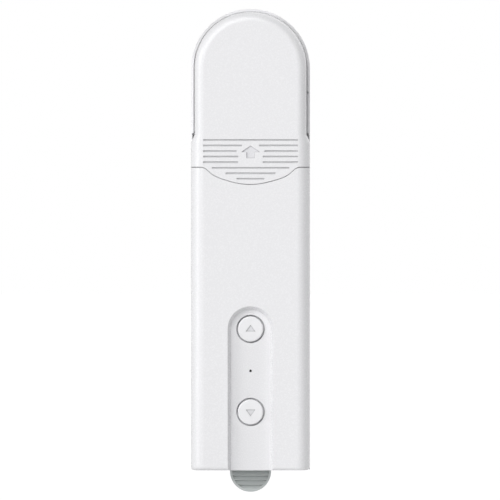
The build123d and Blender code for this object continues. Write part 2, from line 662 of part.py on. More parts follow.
def bracket_outline(half_width):
    """The bracket's rounded outline seen from the front."""
    outline = RectangleRounded(2 * half_width, BRACKET_TOP - BRACKET_BOTTOM, BRACKET_CORNER)
    return Pos(0, (BRACKET_TOP + BRACKET_BOTTOM) / 2) * outline


def screw_hole_heights():
    """Heights of the bracket's two screw holes."""
    middle = (BRACKET_TOP + BRACKET_BOTTOM) / 2
    return [middle - SCREW_SPACING / 2, middle + SCREW_SPACING / 2]


def rack_heights():
    """Heights of the undersides of the rack's teeth, one of them just above the pawl."""
    below = int((PAWL_TOP + PAWL_CLEARANCE - BRACKET_BOTTOM) / RACK_PITCH)
    lowest = PAWL_TOP + PAWL_CLEARANCE - below * RACK_PITCH
    count = int((BRACKET_TOP - lowest) / RACK_PITCH)
    return [lowest + RACK_PITCH * index for index in range(count)]


def side_profile(points, half_width):
    """A profile of depths and heights, made as wide as twice a half width."""
    side = Plane((0, 0, 0), x_dir=(0, -1, 0), z_dir=(-1, 0, 0))
    return extrude(side * make_face(Polyline(*points, close=True)), half_width, both=True)


def rack_tooth(underside):
    """One saw tooth: flat underneath, sloping on top."""
    root = RACK_ROOT_DEPTH
    top = underside + RACK_TIP + RACK_SLOPE
    points = ((root - RACK_BITE, underside), (BRACKET_FRONT, underside),
              (BRACKET_FRONT, underside + RACK_TIP), (root, top), (root - RACK_BITE, top))
    return side_profile(points, RACK_HALF_WIDTH)


def adhesive_pad():
    """Foam tape on the bracket's back, with openings round the screw holes."""
    outline = bracket_outline(BRACKET_WEB_HALF_WIDTH)
    for height in screw_hole_heights():
        outline -= Pos(0, height) * Circle(SCREW_HEAD_RADIUS)
    return prism(outline, 0, PAD_THICKNESS)


def release_lever():
    """Flat lever with the grey finger tab below and the barrel for its pivot pin."""
    front = LEVER_BACK + TAB_THICKNESS
    body = block(-LEVER_HALF_WIDTH, LEVER_HALF_WIDTH, LEVER_BACK, LEVER_BACK + LEVER_THICKNESS,
                 TAB_CENTRE_HEIGHT, LEVER_TOP)
    body += prism(tab_outline(TAB_RADIUS), LEVER_BACK, front)
    body -= prism(tab_outline(TAB_RADIUS - TAB_RIM), LEVER_BACK, front) & tab_steps(front)
    body += across(PIVOT_PIN_RADIUS + LEVER_BARREL_WALL, -LEVER_HALF_WIDTH, LEVER_HALF_WIDTH)
    return body - pivot_bar(PIVOT_PIN_RADIUS + SHAFT_CLEARANCE)


def tab_outline(radius):
    """The tab seen from the front: round below, straight at the top."""
    height = TAB_TOP - TAB_CENTRE_HEIGHT
    lower = Circle(radius) & (Pos(0, -radius) * Rectangle(2 * radius, 2 * radius))
    return Pos(0, TAB_CENTRE_HEIGHT) * (lower + Pos(0, height / 2) * Rectangle(2 * radius, height))


def tab_steps(front):
    """The wedges that are cut out of the tab, so that its steps overlap like tiles."""
    wedges = Part()
    for index in range(TAB_STEPS):
        top = TAB_FIRST_STEP - TAB_STEP_PITCH * index
        foot = top - TAB_STEP_PITCH + TAB_STEP_LAND
        points = ((front, top), (front - TAB_STEP_DEPTH, top - TAB_STEP_RISE), (front, foot))
        wedges += side_profile(points, TAB_RADIUS)
    return wedges


def ratchet_pawl():
    """The lever's saw tooth, which holds the bracket's rack against the pull of the chain."""
    slope = RACK_SLOPE / (BRACKET_FRONT - RACK_ROOT_DEPTH)
    tip_low = PAWL_TOP - PAWL_TIP
    neck = CHANNEL_FRONT + PAWL_NECK_GAP
    neck_low = tip_low - (neck - PAWL_TIP_DEPTH) * slope
    points = ((PAWL_TIP_DEPTH, PAWL_TOP), (PAWL_TIP_DEPTH, tip_low), (neck, neck_low),
              (LEVER_BACK, neck_low), (LEVER_BACK, PAWL_TOP))
    return side_profile(points, PAWL_HALF_WIDTH)


def lever_spring():
    """Leaf spring that presses the pawl into the rack."""
    front = [(depth + SPRING_THICKNESS, height) for depth, height in reversed(SPRING_BEND_POINTS)]
    return side_profile((*SPRING_BEND_POINTS, *front), SPRING_HALF_WIDTH)


def involute_turn(base_radius, radius):
    """Angle that an involute turns through between its base circle and a radius."""
    pressure = acos(min(1.0, base_radius / radius))
    return tan(pressure) - pressure


def polar(radius, angle):
    """A point at a radius and an angle."""
    return (radius * cos(angle), radius * sin(angle))


def gear_outline(teeth, module, phase):
    """Outline of a gear with involute teeth, one of them centred on the phase angle."""
    pitch_radius = module * teeth / 2
    base_radius = pitch_radius * cos(PRESSURE_ANGLE)
    tip_radius = pitch_radius + ADDENDUM * module
    root_radius = pitch_radius - DEDENDUM * module
    half_at_pitch = (pi * module / 2 - TOOTH_THINNING) / (2 * pitch_radius)
    half_at_base = half_at_pitch + involute_turn(base_radius, pitch_radius)
    step = 2 * pi / teeth

    def half_angle(radius):
        return half_at_base - involute_turn(base_radius, max(radius, base_radius))

    radii = (root_radius, pitch_radius, tip_radius)
    corners = []
    for index in range(teeth):
        middle = phase + index * step
        corners += [polar(radius, middle - half_angle(radius)) for radius in radii]
        corners += [polar(radius, middle + half_angle(radius)) for radius in reversed(radii)]
    return make_face(Polyline(*corners, close=True))


def direction(start, end):
    """Angle of the line from one centre to another, seen from the front."""
    return atan2(end[1] - start[1], end[0] - start[0])


def gear(teeth, module, centre, phase, back, front):
    """A spur gear on a centre, between two depths."""
    return prism(Pos(*centre) * gear_outline(teeth, module, phase), back, front)


def output_gear():
    """Large gear on the output shaft, with a hub and round windows."""
    phase = direction(OUTPUT_CENTRE, REDUCTION_CENTRE)
    body = gear(OUTPUT_TEETH, OUTPUT_MODULE, OUTPUT_CENTRE, phase, *OUTPUT_GEAR_DEPTHS)
    body += rod(OUTPUT_HUB_RADIUS, *OUTPUT_HUB_DEPTHS, *OUTPUT_CENTRE)
    for index in range(OUTPUT_WINDOWS):
        x, height = polar(OUTPUT_WINDOW_CIRCLE, 2 * pi * index / OUTPUT_WINDOWS)
        body -= rod(OUTPUT_WINDOW_RADIUS, *OUTPUT_GEAR_DEPTHS, x, OUTPUT_CENTRE[1] + height)
    return body - rod(OUTPUT_SHAFT_RADIUS, *OUTPUT_HUB_DEPTHS, *OUTPUT_CENTRE)


def reduction_gear():
    """Middle gear: its small end drives the output gear and its large end is driven."""
    small = direction(REDUCTION_CENTRE, OUTPUT_CENTRE) + pi / PINION_TEETH
    large = direction(REDUCTION_CENTRE, WORM_WHEEL_CENTRE)
    body = gear(PINION_TEETH, OUTPUT_MODULE, REDUCTION_CENTRE, small, *REDUCTION_SMALL_DEPTHS)
    body += gear(REDUCTION_TEETH, REDUCTION_MODULE, REDUCTION_CENTRE, large, *REDUCTION_LARGE_DEPTHS)
    return body - axle_bore(REDUCTION_CENTRE)


def worm_wheel_gear():
    """Gear driven by the worm, with the pinion that drives the middle gear behind it."""
    lead_angle = atan2(WORM_MODULE, 2 * WORM_PITCH_RADIUS)
    twist = WORM_WHEEL_WIDTH * tan(lead_angle) / WORM_WHEEL_RADIUS
    outline = gear_outline(WORM_WHEEL_TEETH, WORM_MODULE, pi - twist / 2)
    wheel = Solid.extrude_linear_with_rotation(outline.face(), (0, 0, 0), (0, 0, WORM_WHEEL_WIDTH),
                                               degrees(twist))
    place = Plane.XZ.offset(WORM_DEPTH - WORM_WHEEL_WIDTH / 2).location
    wheel = Pos(WORM_WHEEL_CENTRE[0], 0, WORM_WHEEL_CENTRE[1]) * place * wheel
    small = direction(WORM_WHEEL_CENTRE, REDUCTION_CENTRE) + pi / PINION_TEETH
    pinion = gear(PINION_TEETH, REDUCTION_MODULE, WORM_WHEEL_CENTRE, small, *WORM_PINION_DEPTHS)
    return wheel + pinion - axle_bore(WORM_WHEEL_CENTRE)


def axle_bore(centre):
    """Bore of a gear that turns on a fixed axle."""
    return rod(AXLE_RADIUS + SHAFT_CLEARANCE, HOUSING_BACK, DEEP_FRONT, *centre)


def worm():
    """Single-start worm on the motor's shaft: a helical thread on a round core."""
    pitch = pi * WORM_MODULE
    tip_radius = WORM_PITCH_RADIUS + ADDENDUM * WORM_MODULE
    root_radius = WORM_PITCH_RADIUS - DEDENDUM * WORM_MODULE
    sunk_radius = root_radius - WORM_ROOT_BITE

    def half_width(radius):
        return (pitch / 2 - TOOTH_THINNING) / 2 - (radius - WORM_PITCH_RADIUS) * tan(PRESSURE_ANGLE)

    section = make_face(Polyline(
        (sunk_radius, -half_width(sunk_radius)), (tip_radius, -half_width(tip_radius)),
        (tip_radius, half_width(tip_radius)), (sunk_radius, half_width(sunk_radius)), close=True,
    ))
    run = WORM_LENGTH - 2 * half_width(sunk_radius)
    thread = sweep(Plane.XZ * section, Helix(pitch, run, sunk_radius), is_frenet=True)
    core = post(root_radius, 0, 0, -half_width(sunk_radius) - WORM_COLLAR, run + half_width(sunk_radius))
    body = core + thread - post(MOTOR_SHAFT_RADIUS, 0, 0, -WORM_LENGTH, 2 * WORM_LENGTH)
    low = WORM_WHEEL_CENTRE[1] - run / 2
    start_angle = 180 - 360 * (run / 2) / pitch
    return Pos(WORM_X, -WORM_DEPTH, low) * Rot(0, 0, start_angle) * body


def motor_shaft():
    """The motor's shaft, which carries the worm."""
    top = WORM_WHEEL_CENTRE[1] + WORM_LENGTH / 2 + MOTOR_SHAFT_END
    return post(MOTOR_SHAFT_RADIUS, WORM_X, WORM_DEPTH, MOTOR_FACE - MOTOR_SHAFT_END, top)


def motor_can():
    """Steel can of the motor, with its front boss and two tapped holes."""
    boss_top = MOTOR_FACE + MOTOR_BOSS_HEIGHT
    body = post(MOTOR_RADIUS, WORM_X, WORM_DEPTH, MOTOR_FACE - MOTOR_LENGTH + MOTOR_CAP_HEIGHT, MOTOR_FACE)
    body += post(MOTOR_BOSS_RADIUS, WORM_X, WORM_DEPTH, MOTOR_FACE, boss_top)
    body -= post(MOTOR_SHAFT_RADIUS + SHAFT_CLEARANCE, WORM_X, WORM_DEPTH,
                 MOTOR_FACE - MOTOR_SHAFT_END - SHAFT_CLEARANCE, boss_top)
    for x in motor_screw_places():
        body -= post(SCREW_RADIUS + SCREW_TAP_GAP, x, WORM_DEPTH, MOTOR_FACE - MOTOR_TAP_DEPTH, MOTOR_FACE)
    return body


def motor_end_cap():
    """Plastic end cap of the motor with its two terminals."""
    low = MOTOR_FACE - MOTOR_LENGTH
    cap_low = low + MOTOR_TERMINAL_LENGTH
    body = post(MOTOR_RADIUS - MOTOR_CAP_INSET, WORM_X, WORM_DEPTH, cap_low, low + MOTOR_CAP_HEIGHT)
    for x in (WORM_X - MOTOR_TERMINAL_X, WORM_X + MOTOR_TERMINAL_X):
        body += block(x - MOTOR_TERMINAL_HALF_WIDTH, x + MOTOR_TERMINAL_HALF_WIDTH,
                      WORM_DEPTH - MOTOR_TERMINAL_HALF_DEPTH, WORM_DEPTH + MOTOR_TERMINAL_HALF_DEPTH,
                      low, cap_low)
    return body


def motor_screw_places():
    """Sideways places of the two screws that hold the motor."""
    return (WORM_X - MOTOR_SCREW_X, WORM_X + MOTOR_SCREW_X)


def motor_screws():
    """The two screws down through the shelf into the motor."""
    length, head_radius, head_height = MOTOR_SCREW
    seat = MOTOR_FACE + SHELF_THICKNESS
    return [
        post(SCREW_RADIUS, x, WORM_DEPTH, seat - length, seat)
        + post(head_radius, x, WORM_DEPTH, seat, seat + head_height)
        for x in motor_screw_places()
    ]


def screws_forward(places, seat, screw):
    """Screws driven forward, with their heads behind a seat depth."""
    length, head_radius, head_height = screw
    return [
        rod(SCREW_RADIUS, seat, seat + length, x, height)
        + rod(head_radius, seat - head_height, seat, x, height)
        for x, height in places
    ]


def lid_screws():
    """Screws that hold the lid on the gearbox."""
    return screws_forward(LID_SCREW_PLACES, HOUSING_BACK - LID_THICKNESS, LID_SCREW)


def chassis_screws():
    """Screws from the back through the rear shell and the lid into the gearbox."""
    return screws_forward(CHASSIS_SCREW_PLACES, UNIT_BACK + WALL / 2, CHASSIS_SCREW)


def case_screws():
    """Screws from the back that hold the two halves of the casing together."""
    return screws_forward(CASE_SCREW_PLACES, UNIT_BACK + WALL, CASE_SCREW)


def board_screws():
    """Screws that hold the circuit board on the front shell."""
    return screws_forward(BOARD_SCREW_PLACES, BOARD_FRONT - BOARD_THICKNESS, BOARD_SCREW)


def housing_outline(inset):
    """The gearbox's outline seen from the front."""
    bottom = MOTOR_FACE + (SHELF_THICKNESS if inset else 0)
    return arch_outline(HOUSING_HALF_WIDTH - inset, bottom)


def gearbox_housing():
    """Gearbox housing: motor shelf, deep part over the worm, and the chain guide in front."""
    half = HOUSING_HALF_WIDTH
    body = block(-half, half, HOUSING_BACK, DEEP_FRONT, MOTOR_FACE, STEP_HEIGHT)
    body += prism(housing_outline(0), HOUSING_BACK, SHALLOW_FRONT)
    inner = half - HOUSING_WALL
    body -= block(-inner, inner, HOUSING_BACK, DEEP_FRONT - HOUSING_WALL,
                  MOTOR_FACE + SHELF_THICKNESS, STEP_HEIGHT - HOUSING_WALL)
    body -= prism(housing_outline(HOUSING_WALL), HOUSING_BACK, SHALLOW_FRONT - HOUSING_WALL)
    body += chain_guide()
    for x, height in LID_SCREW_PLACES + CHASSIS_SCREW_PLACES:
        body += rod(BOSS_RADIUS, HOUSING_BACK, HOUSING_BOSS_FRONT, x, height)
        body -= rod(BOSS_HOLE_RADIUS, HOUSING_BACK, HOUSING_BOSS_FRONT, x, height)
    bearing_front = SHALLOW_FRONT + BEARING_BOSS_HEIGHT
    body += rod(BEARING_BOSS_RADIUS, SHALLOW_FRONT, bearing_front, *OUTPUT_CENTRE)
    body -= rod(BUSH_RADIUS + BUSH_FIT, HOUSING_BACK, bearing_front, *OUTPUT_CENTRE)
    body -= rod(AXLE_RADIUS, HOUSING_BACK, SHALLOW_FRONT, *REDUCTION_CENTRE)
    body -= rod(AXLE_RADIUS, HOUSING_BACK, DEEP_FRONT, *WORM_WHEEL_CENTRE)
    shelf_top = MOTOR_FACE + SHELF_THICKNESS
    body -= post(MOTOR_BOSS_RADIUS + FIT_GAP, WORM_X, WORM_DEPTH, MOTOR_FACE, shelf_top)
    for x in motor_screw_places():
        body -= post(SCREW_RADIUS + FIT_GAP, x, WORM_DEPTH, MOTOR_FACE, shelf_top)
    return body


def chain_guide():
    """Trough round the lower half of the chain wheel, with a grooved rail on each side."""
    outer = GUIDE_RADIUS + GUIDE_WALL
    lower_half = Pos(0, -outer) * Rectangle(2 * outer, 2 * outer)
    trough = Pos(0, WHEEL_HEIGHT) * ((Circle(outer) - Circle(GUIDE_RADIUS)) & lower_half)
    body = prism(trough, SHALLOW_FRONT, GUIDE_FRONT)
    upright = block(GUIDE_RADIUS, outer, SHALLOW_FRONT, GUIDE_FRONT, WHEEL_HEIGHT, GUIDE_TOP)
    rail = block(outer - RIB_GROOVE_GAP, HOUSING_HALF_WIDTH, SHALLOW_FRONT - HOUSING_WALL, RAIL_FRONT,
                 RIB_BOTTOM + RAIL_STEP, WHEEL_HEIGHT)
    groove = block(HOUSING_HALF_WIDTH - RIB_REACH, HOUSING_HALF_WIDTH, RIB_BACK - RIB_GROOVE_GAP,
                   RIB_FRONT + RIB_GROOVE_GAP, RIB_BOTTOM, WHEEL_HEIGHT)
    return body + both_sides(upright + (rail - groove))


def gearbox_lid():
    """Plate that closes the gearbox at the back."""
    back = HOUSING_BACK - LID_THICKNESS
    body = prism(housing_outline(0), back, HOUSING_BACK)
    for x, height in LID_SCREW_PLACES + CHASSIS_SCREW_PLACES:
        body -= rod(SCREW_RADIUS + FIT_GAP, back, HOUSING_BACK, x, height)
    body -= rod(AXLE_RADIUS, back, HOUSING_BACK, *REDUCTION_CENTRE)
    body -= rod(AXLE_RADIUS, back, HOUSING_BACK, *WORM_WHEEL_CENTRE)
    return body - rod(BUSH_RADIUS + BUSH_FIT, back, HOUSING_BACK, *OUTPUT_CENTRE)


def gear_axles():
    """The two fixed steel axles, one for each loose gear."""
    back = HOUSING_BACK - LID_THICKNESS
    return [
        rod(AXLE_RADIUS, back, SHALLOW_FRONT, *REDUCTION_CENTRE),
        rod(AXLE_RADIUS, back, DEEP_FRONT, *WORM_WHEEL_CENTRE),
    ]


def shaft_bushes():
    """The two flanged bushes that carry the output shaft."""
    rear = flanged_bush(HOUSING_BACK - LID_THICKNESS, HOUSING_BACK)
    front = flanged_bush(SHALLOW_FRONT - HOUSING_WALL, SHALLOW_FRONT + BEARING_BOSS_HEIGHT)
    return [rear, front]


def flanged_bush(back, front):
    """A bush with its flange in front, bored for the output shaft."""
    flange_front = front + BUSH_FLANGE_THICKNESS
    body = rod(BUSH_RADIUS, back, front, *OUTPUT_CENTRE)
    body += rod(BUSH_FLANGE_RADIUS, front, flange_front, *OUTPUT_CENTRE)
    return body - rod(OUTPUT_SHAFT_RADIUS + SHAFT_CLEARANCE, back, flange_front, *OUTPUT_CENTRE)


def output_shaft():
    """Steel shaft from the lid's bush through the output gear to the chain wheel."""
    return rod(OUTPUT_SHAFT_RADIUS, HOUSING_BACK - LID_THICKNESS, SPROCKET_FRONT - HUB_SINK, *OUTPUT_CENTRE)


def sprocket():
    """Chain wheel with a pocket for every bead and a groove for the links between them."""
    middle = (SPROCKET_BACK + SPROCKET_FRONT) / 2
    half_groove = LINK_GROOVE_WIDTH / 2
    hub_front = SPROCKET_FRONT - HUB_SINK
    body = rod(SPROCKET_RADIUS, SPROCKET_BACK, SPROCKET_FRONT, *OUTPUT_CENTRE)
    groove = Circle(SPROCKET_RADIUS + CUTTER_REACH) - Circle(SPROCKET_RADIUS - LINK_GROOVE_DEPTH)
    body -= prism(Pos(*OUTPUT_CENTRE) * groove, middle - half_groove, middle + half_groove)
    pocket = BEAD_RADIUS + BEAD_CLEARANCE
    for index in range(BEAD_COUNT):
        x, height = polar(BEAD_PITCH_RADIUS, 2 * pi * index / BEAD_COUNT)
        body -= rod(pocket, middle - pocket, middle + pocket, x, WHEEL_HEIGHT + height)
    body -= rod(HUB_SINK_RADIUS, hub_front, SPROCKET_FRONT, *OUTPUT_CENTRE)
    return body - rod(OUTPUT_SHAFT_RADIUS, SPROCKET_BACK, hub_front, *OUTPUT_CENTRE)


def sprocket_screw():
    """Screw with a washer that holds the chain wheel on its shaft."""
    seat = SPROCKET_FRONT - HUB_SINK
    head = seat + WASHER_THICKNESS
    washer = rod(WASHER_RADIUS, seat, head, *OUTPUT_CENTRE)
    return washer + rod(SPROCKET_SCREW_RADIUS, head, head + SPROCKET_SCREW_HEIGHT, *OUTPUT_CENTRE)


def encoder_magnet():
    """Magnet on the rear end of the output shaft, read by the position sensor."""
    back = HOUSING_BACK - LID_THICKNESS
    return rod(MAGNET_RADIUS, back - MAGNET_THICKNESS, back, *OUTPUT_CENTRE)


def battery_cells():
    """Two round cells side by side."""
    top = CELL_BOTTOM + CELL_LENGTH
    return [post(CELL_RADIUS, x, CELL_DEPTH, CELL_BOTTOM, top) for x in (-CELL_X, CELL_X)]


def main_board():
    """Circuit board behind the buttons, with a tongue down to the charging socket."""
    middle = (BOARD_BOTTOM + BOARD_TOP) / 2
    outline = Pos(0, middle) * Rectangle(2 * BOARD_HALF_WIDTH, BOARD_TOP - BOARD_BOTTOM)
    tongue = (BOARD_BOTTOM + BOARD_TONGUE_BOTTOM) / 2
    outline += Pos(0, tongue) * Rectangle(2 * BOARD_TONGUE_HALF_WIDTH, BOARD_BOTTOM - BOARD_TONGUE_BOTTOM)
    for x, height in BOARD_SCREW_PLACES:
        outline -= Pos(x, height) * Circle(SCREW_RADIUS + SCREW_CLEARANCE)
    return prism(outline, BOARD_FRONT - BOARD_THICKNESS, BOARD_FRONT)


def tact_switches():
    """The two push switches behind the buttons."""
    half = SWITCH_HALF_SIZE
    body_front = BOARD_FRONT + SWITCH_BODY
    return [
        block(-half, half, BOARD_FRONT, body_front, height - half, height + half)
        + rod(SWITCH_PLUNGER_RADIUS, body_front, BOARD_FRONT + SWITCH_HEIGHT, 0, height)
        for height in BUTTON_HEIGHTS
    ]


def status_led():
    """Small light on the board behind its guide."""
    half_x, half_z = LED_HALF_SIZE
    return block(-half_x, half_x, BOARD_FRONT, BOARD_FRONT + LED_HEIGHT, LIGHT_HEIGHT - half_z,
                 LIGHT_HEIGHT + half_z)


def radio_shield():
    """Metal can over the radio."""
    right, top = SHIELD_LEFT + SHIELD_SIZE, SHIELD_BOTTOM + SHIELD_SIZE
    front = BOARD_FRONT + SHIELD_HEIGHT
    can = block(SHIELD_LEFT, right, BOARD_FRONT, front, SHIELD_BOTTOM, top)
    can = fillet(can.edges().filter_by(Axis.Y), SHIELD_CORNER)
    return can - block(SHIELD_LEFT + SHIELD_WALL, right - SHIELD_WALL, BOARD_FRONT, front - SHIELD_WALL,
                       SHIELD_BOTTOM + SHIELD_WALL, top - SHIELD_WALL)


def board_chips():
    """Motor driver, charger and regulator packages on the board."""
    front = BOARD_FRONT + CHIP_HEIGHT
    return [
        block(x - half_x, x + half_x, BOARD_FRONT, front, height - half_z, height + half_z)
        for x, height, half_x, half_z in CHIPS
    ]


def usb_socket():
    """Charging socket in the bottom edge, with its inner tongue."""
    base = USB_BOTTOM + USB_LENGTH - USB_BASE
    outer = SlotOverall(2 * USB_HALF_WIDTH, 2 * USB_HALF_HEIGHT)
    inner = SlotOverall(2 * (USB_HALF_WIDTH - USB_WALL), 2 * (USB_HALF_HEIGHT - USB_WALL))
    body = extrude(Pos(0, -USB_DEPTH, USB_BOTTOM) * outer, USB_LENGTH)
    body -= extrude(Pos(0, -USB_DEPTH, USB_BOTTOM) * inner, base - USB_BOTTOM)
    return body + block(-USB_TONGUE_HALF_WIDTH, USB_TONGUE_HALF_WIDTH, USB_DEPTH - USB_TONGUE_HALF_DEPTH,
                        USB_DEPTH + USB_TONGUE_HALF_DEPTH, USB_BOTTOM + USB_BASE, base)


PIECES = {
    "adhesive_pad": adhesive_pad,
    "wall_bracket": wall_bracket,
    "rear_shell": rear_shell,
    "front_shell": front_shell,
    "cover": cover,
    "up_button": up_button,
    "down_button": down_button,
    "light_guide": status_light_guide,
    "status_led": status_led,
    "main_board": main_board,
    "tact_switches": tact_switches,
    "radio_shield": radio_shield,
    "board_chips": board_chips,
    "usb_socket": usb_socket,
    "battery_cells": battery_cells,
    "motor_can": motor_can,
    "motor_end_cap": motor_end_cap,
    "motor_shaft": motor_shaft,
    "motor_screws": motor_screws,
    "worm": worm,
    "worm_wheel_gear": worm_wheel_gear,
    "reduction_gear": reduction_gear,
    "output_gear": output_gear,
    "output_shaft": output_shaft,
    "shaft_bushes": shaft_bushes,
    "gear_axles": gear_axles,
    "encoder_magnet": encoder_magnet,
    "sprocket": sprocket,
    "sprocket_screw": sprocket_screw,
    "gearbox_housing": gearbox_housing,
    "gearbox_lid": gearbox_lid,
    "lid_screws": lid_screws,
    "chassis_screws": chassis_screws,
    "case_screws": case_screws,
    "board_screws": board_screws,
    "release_lever": release_lever,
    "ratchet_pawl": ratchet_pawl,
    "lever_pin": lever_pin,
    "lever_spring": lever_spring,
}


def write(name, shape):
    """Lower a piece, or a group of like pieces, to the shared origin and write it out."""
    lowered = Pos(0, 0, -ORIGIN_HEIGHT)
    placed = [lowered * piece for piece in shape] if isinstance(shape, list) else [lowered * shape]
    solids = [solid for piece in placed for solid in piece.solids()]
    whole = solids[0] if len(solids) == 1 else Compound(children=solids)
    whole.label = name
    export_step(whole, f"parts/{name}.step")


os.makedirs("parts", exist_ok=True)
for piece_name, make in PIECES.items():
    write(piece_name, make())
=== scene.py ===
"""Looks of a battery motor for a bead-chain roller shade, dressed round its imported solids."""
import math

import bmesh
import bpy
from mathutils import Matrix, Vector


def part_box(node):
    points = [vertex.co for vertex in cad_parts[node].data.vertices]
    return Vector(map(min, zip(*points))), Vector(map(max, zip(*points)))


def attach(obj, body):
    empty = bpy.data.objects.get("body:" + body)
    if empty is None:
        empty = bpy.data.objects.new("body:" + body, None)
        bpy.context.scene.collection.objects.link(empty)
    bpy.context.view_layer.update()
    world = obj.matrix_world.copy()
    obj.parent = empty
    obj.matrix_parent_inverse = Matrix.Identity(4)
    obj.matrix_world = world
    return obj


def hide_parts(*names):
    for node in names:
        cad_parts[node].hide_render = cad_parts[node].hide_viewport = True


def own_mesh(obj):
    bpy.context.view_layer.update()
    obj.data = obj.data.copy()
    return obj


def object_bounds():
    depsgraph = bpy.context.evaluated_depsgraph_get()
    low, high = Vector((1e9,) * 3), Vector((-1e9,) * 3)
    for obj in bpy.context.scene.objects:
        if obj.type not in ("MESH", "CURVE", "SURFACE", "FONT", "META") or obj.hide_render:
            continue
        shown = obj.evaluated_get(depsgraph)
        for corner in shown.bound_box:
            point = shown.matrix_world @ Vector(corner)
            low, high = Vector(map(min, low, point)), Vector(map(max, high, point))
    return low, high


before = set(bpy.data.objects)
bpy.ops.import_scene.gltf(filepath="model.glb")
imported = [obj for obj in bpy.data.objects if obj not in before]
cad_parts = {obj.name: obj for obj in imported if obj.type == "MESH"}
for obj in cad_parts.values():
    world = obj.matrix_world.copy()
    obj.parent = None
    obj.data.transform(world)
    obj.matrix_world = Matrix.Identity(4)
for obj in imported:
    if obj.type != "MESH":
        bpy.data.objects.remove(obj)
CAD_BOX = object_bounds()

bl_info = {
    "name": "Roller Shade Motor Looks",
    "version": (1, 0, 0),
    "blender": (4, 5, 0),
    "location": "3D View > Sidebar > Shade Motor",
    "description": "Dresses the solids of a roller shade motor with finishes, fasteners, stage and camera",
    "category": "Object",
}

MM = 0.001

# Places in the unit are in millimetres: sideways, forward of the wall, and above the unit's bottom edge,
# which is this far below the part's origin
ORIGIN_HEIGHT = 47.0
# Depth of the casing's side edges, where its front corners begin
SIDE_DEPTH = 30.6

# Sunk signs, where a darker colour is painted as shade: two corners of a box that holds only their floors
# and walls
GRIP_SHADE_FIELD = ((-19.25, 35.2, 117.8), (19.25, 35.75, 134.6))
ARROW_SHADE_FIELDS = (
    ((-4.6, 35.2, 126.0), (4.6, 35.75, 131.3)),
    ((-3.4, 35.2, 131.3), (3.4, 35.75, 132.4)),
)
TRIANGLE_SHADE_FIELDS = (
    ((-2.4, 33.1, 55.0), (2.4, 33.55, 60.0)),
    ((-2.4, 33.1, 21.0), (2.4, 33.55, 26.0)),
)

# Floor of the button recess, where a duller white is painted as shade
RECESS_SHADE_FIELD = ((-8.1, 32.2, -0.1), (8.1, 32.6, 65.5))

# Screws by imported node: which way the shank points, seats, shank length, head radius and head height
SCREWS = {
    "case_screws": ("forward", ((-19.7, 3.5, 8.0), (19.7, 3.5, 8.0)), 22.0, 1.6, 1.2),
    "chassis_screws": ("forward", ((-12.2, 2.5, 175.7), (12.2, 2.5, 175.7)), 10.0, 1.6, 0.9),
    "lid_screws": ("forward", ((-17.2, 7.6, 122.6), (17.2, 7.6, 122.6)), 5.5, 1.7, 0.4),
    "board_screws": ("forward", ((17.4, 27.4, 17.0), (-17.4, 27.4, 83.0)), 5.0, 1.7, 0.9),
    "motor_screws": ("down", ((-16.0, 20.5, 120.3), (0.0, 20.5, 120.3)), 4.0, 1.9, 1.1),
}
THREAD_CREST, THREAD_ROOT, THREAD_PITCH = 0.8, 0.58, 0.7
# Foot of the thread's flank, in pitches from the middle of its crest, and how steeply it rises from there
FLANK_FOOT, FLANK_SLOPE = 0.25, 6.4
ROWS_PER_THREAD = 8
LATHE_SIDES = 24
# Pan head from its flat top down to its seat, in shares of its radius and height
HEAD_PROFILE = ((0.7, 1.0), (0.86, 0.9), (0.96, 0.68), (1.0, 0.4), (1.0, 0.1), (0.95, 0.0))
# Cross recess: reach and half width of an arm in head radii, size of its floor beside its mouth, and the
# floor's height in head heights
CROSS_ARM, CROSS_HALF_WIDTH, CROSS_DRAWN_IN, CROSS_FLOOR = 0.5, 0.13, 0.6, 0.3
# Edges sharper than this many degrees stay sharp to the eye
SMOOTH_ANGLE = 35

# Screw and washer on the chain wheel: seat, washer with its soft edge, head
WHEEL_SEAT = (0.0, 31.0, 163.6)
WASHER_RADIUS, WASHER_THICKNESS, WASHER_EDGE = 5.0, 0.5, 0.12
WHEEL_HEAD_RADIUS, WHEEL_HEAD_HEIGHT = 2.2, 1.4

# Leaf spring behind the lever: depths and heights along the middle of its strip
SPRING_LINE = ((13.65, 2.0), (13.65, 6.0), (10.25, 14.5), (10.95, 17.5))
SPRING_HALF_WIDTH, SPRING_HALF_THICKNESS, SPRING_BEND_CUTS = 3.0, 0.15, 3

# Contacts on both faces of the charging socket's tongue
CONTACTS_IN_ROW, CONTACT_PITCH = 12, 0.5
CONTACT_WIDTH, CONTACT_LENGTH, CONTACT_THICKNESS = 0.26, 3.6, 0.06
TONGUE_HALF_THICKNESS, TONGUE_END = 0.35, 1.3

# Foam tape on the bracket's back
TAPE_HALF_WIDTH, TAPE_CORNER = 13.5, 3.0
TAPE_BOTTOM, TAPE_TOP = 2.0, 92.0
TAPE_OPENINGS = ((0.0, 27.0), (0.0, 67.0))
TAPE_OPENING_RADIUS = 4.2
TAPE_CORNER_STEPS = 6
# Layers from the wall forward: depth, and how far the edge is drawn in there
TAPE_LAYERS = ((0.0, 0.2), (0.08, 0.06), (0.3, 0.1), (0.5, 0.0), (0.7, 0.1), (0.92, 0.06), (1.0, 0.2))

# Colours of what a user has no reason to change, as sRGB hex values
BARE_STEEL, PLATED_STEEL, TINNED_STEEL = "#B9BBBE", "#C9CCD0", "#C4C7CA"
BRASS, GOLD = "#D2A85A", "#E0B65C"
CLEAR_RESIN, FLOOR_PAINT = "#EDE9C8", "#E6E6E6"
# Refractive indices of the plastics
MOULDED_IOR, ACETAL_IOR, ACRYLIC_IOR, FOAM_IOR = 1.53, 1.48, 1.49, 1.5
# Darkest and lightest share of its colour in the pattern of each kind of finish
MOULDED_TINTS, ACETAL_TINTS, ACRYLIC_TINTS = (0.995, 1.004), (0.97, 1.01), (0.9, 1.0)
METAL_TINTS, FOAM_TINTS = (0.9, 1.05), (0.93, 1.02)
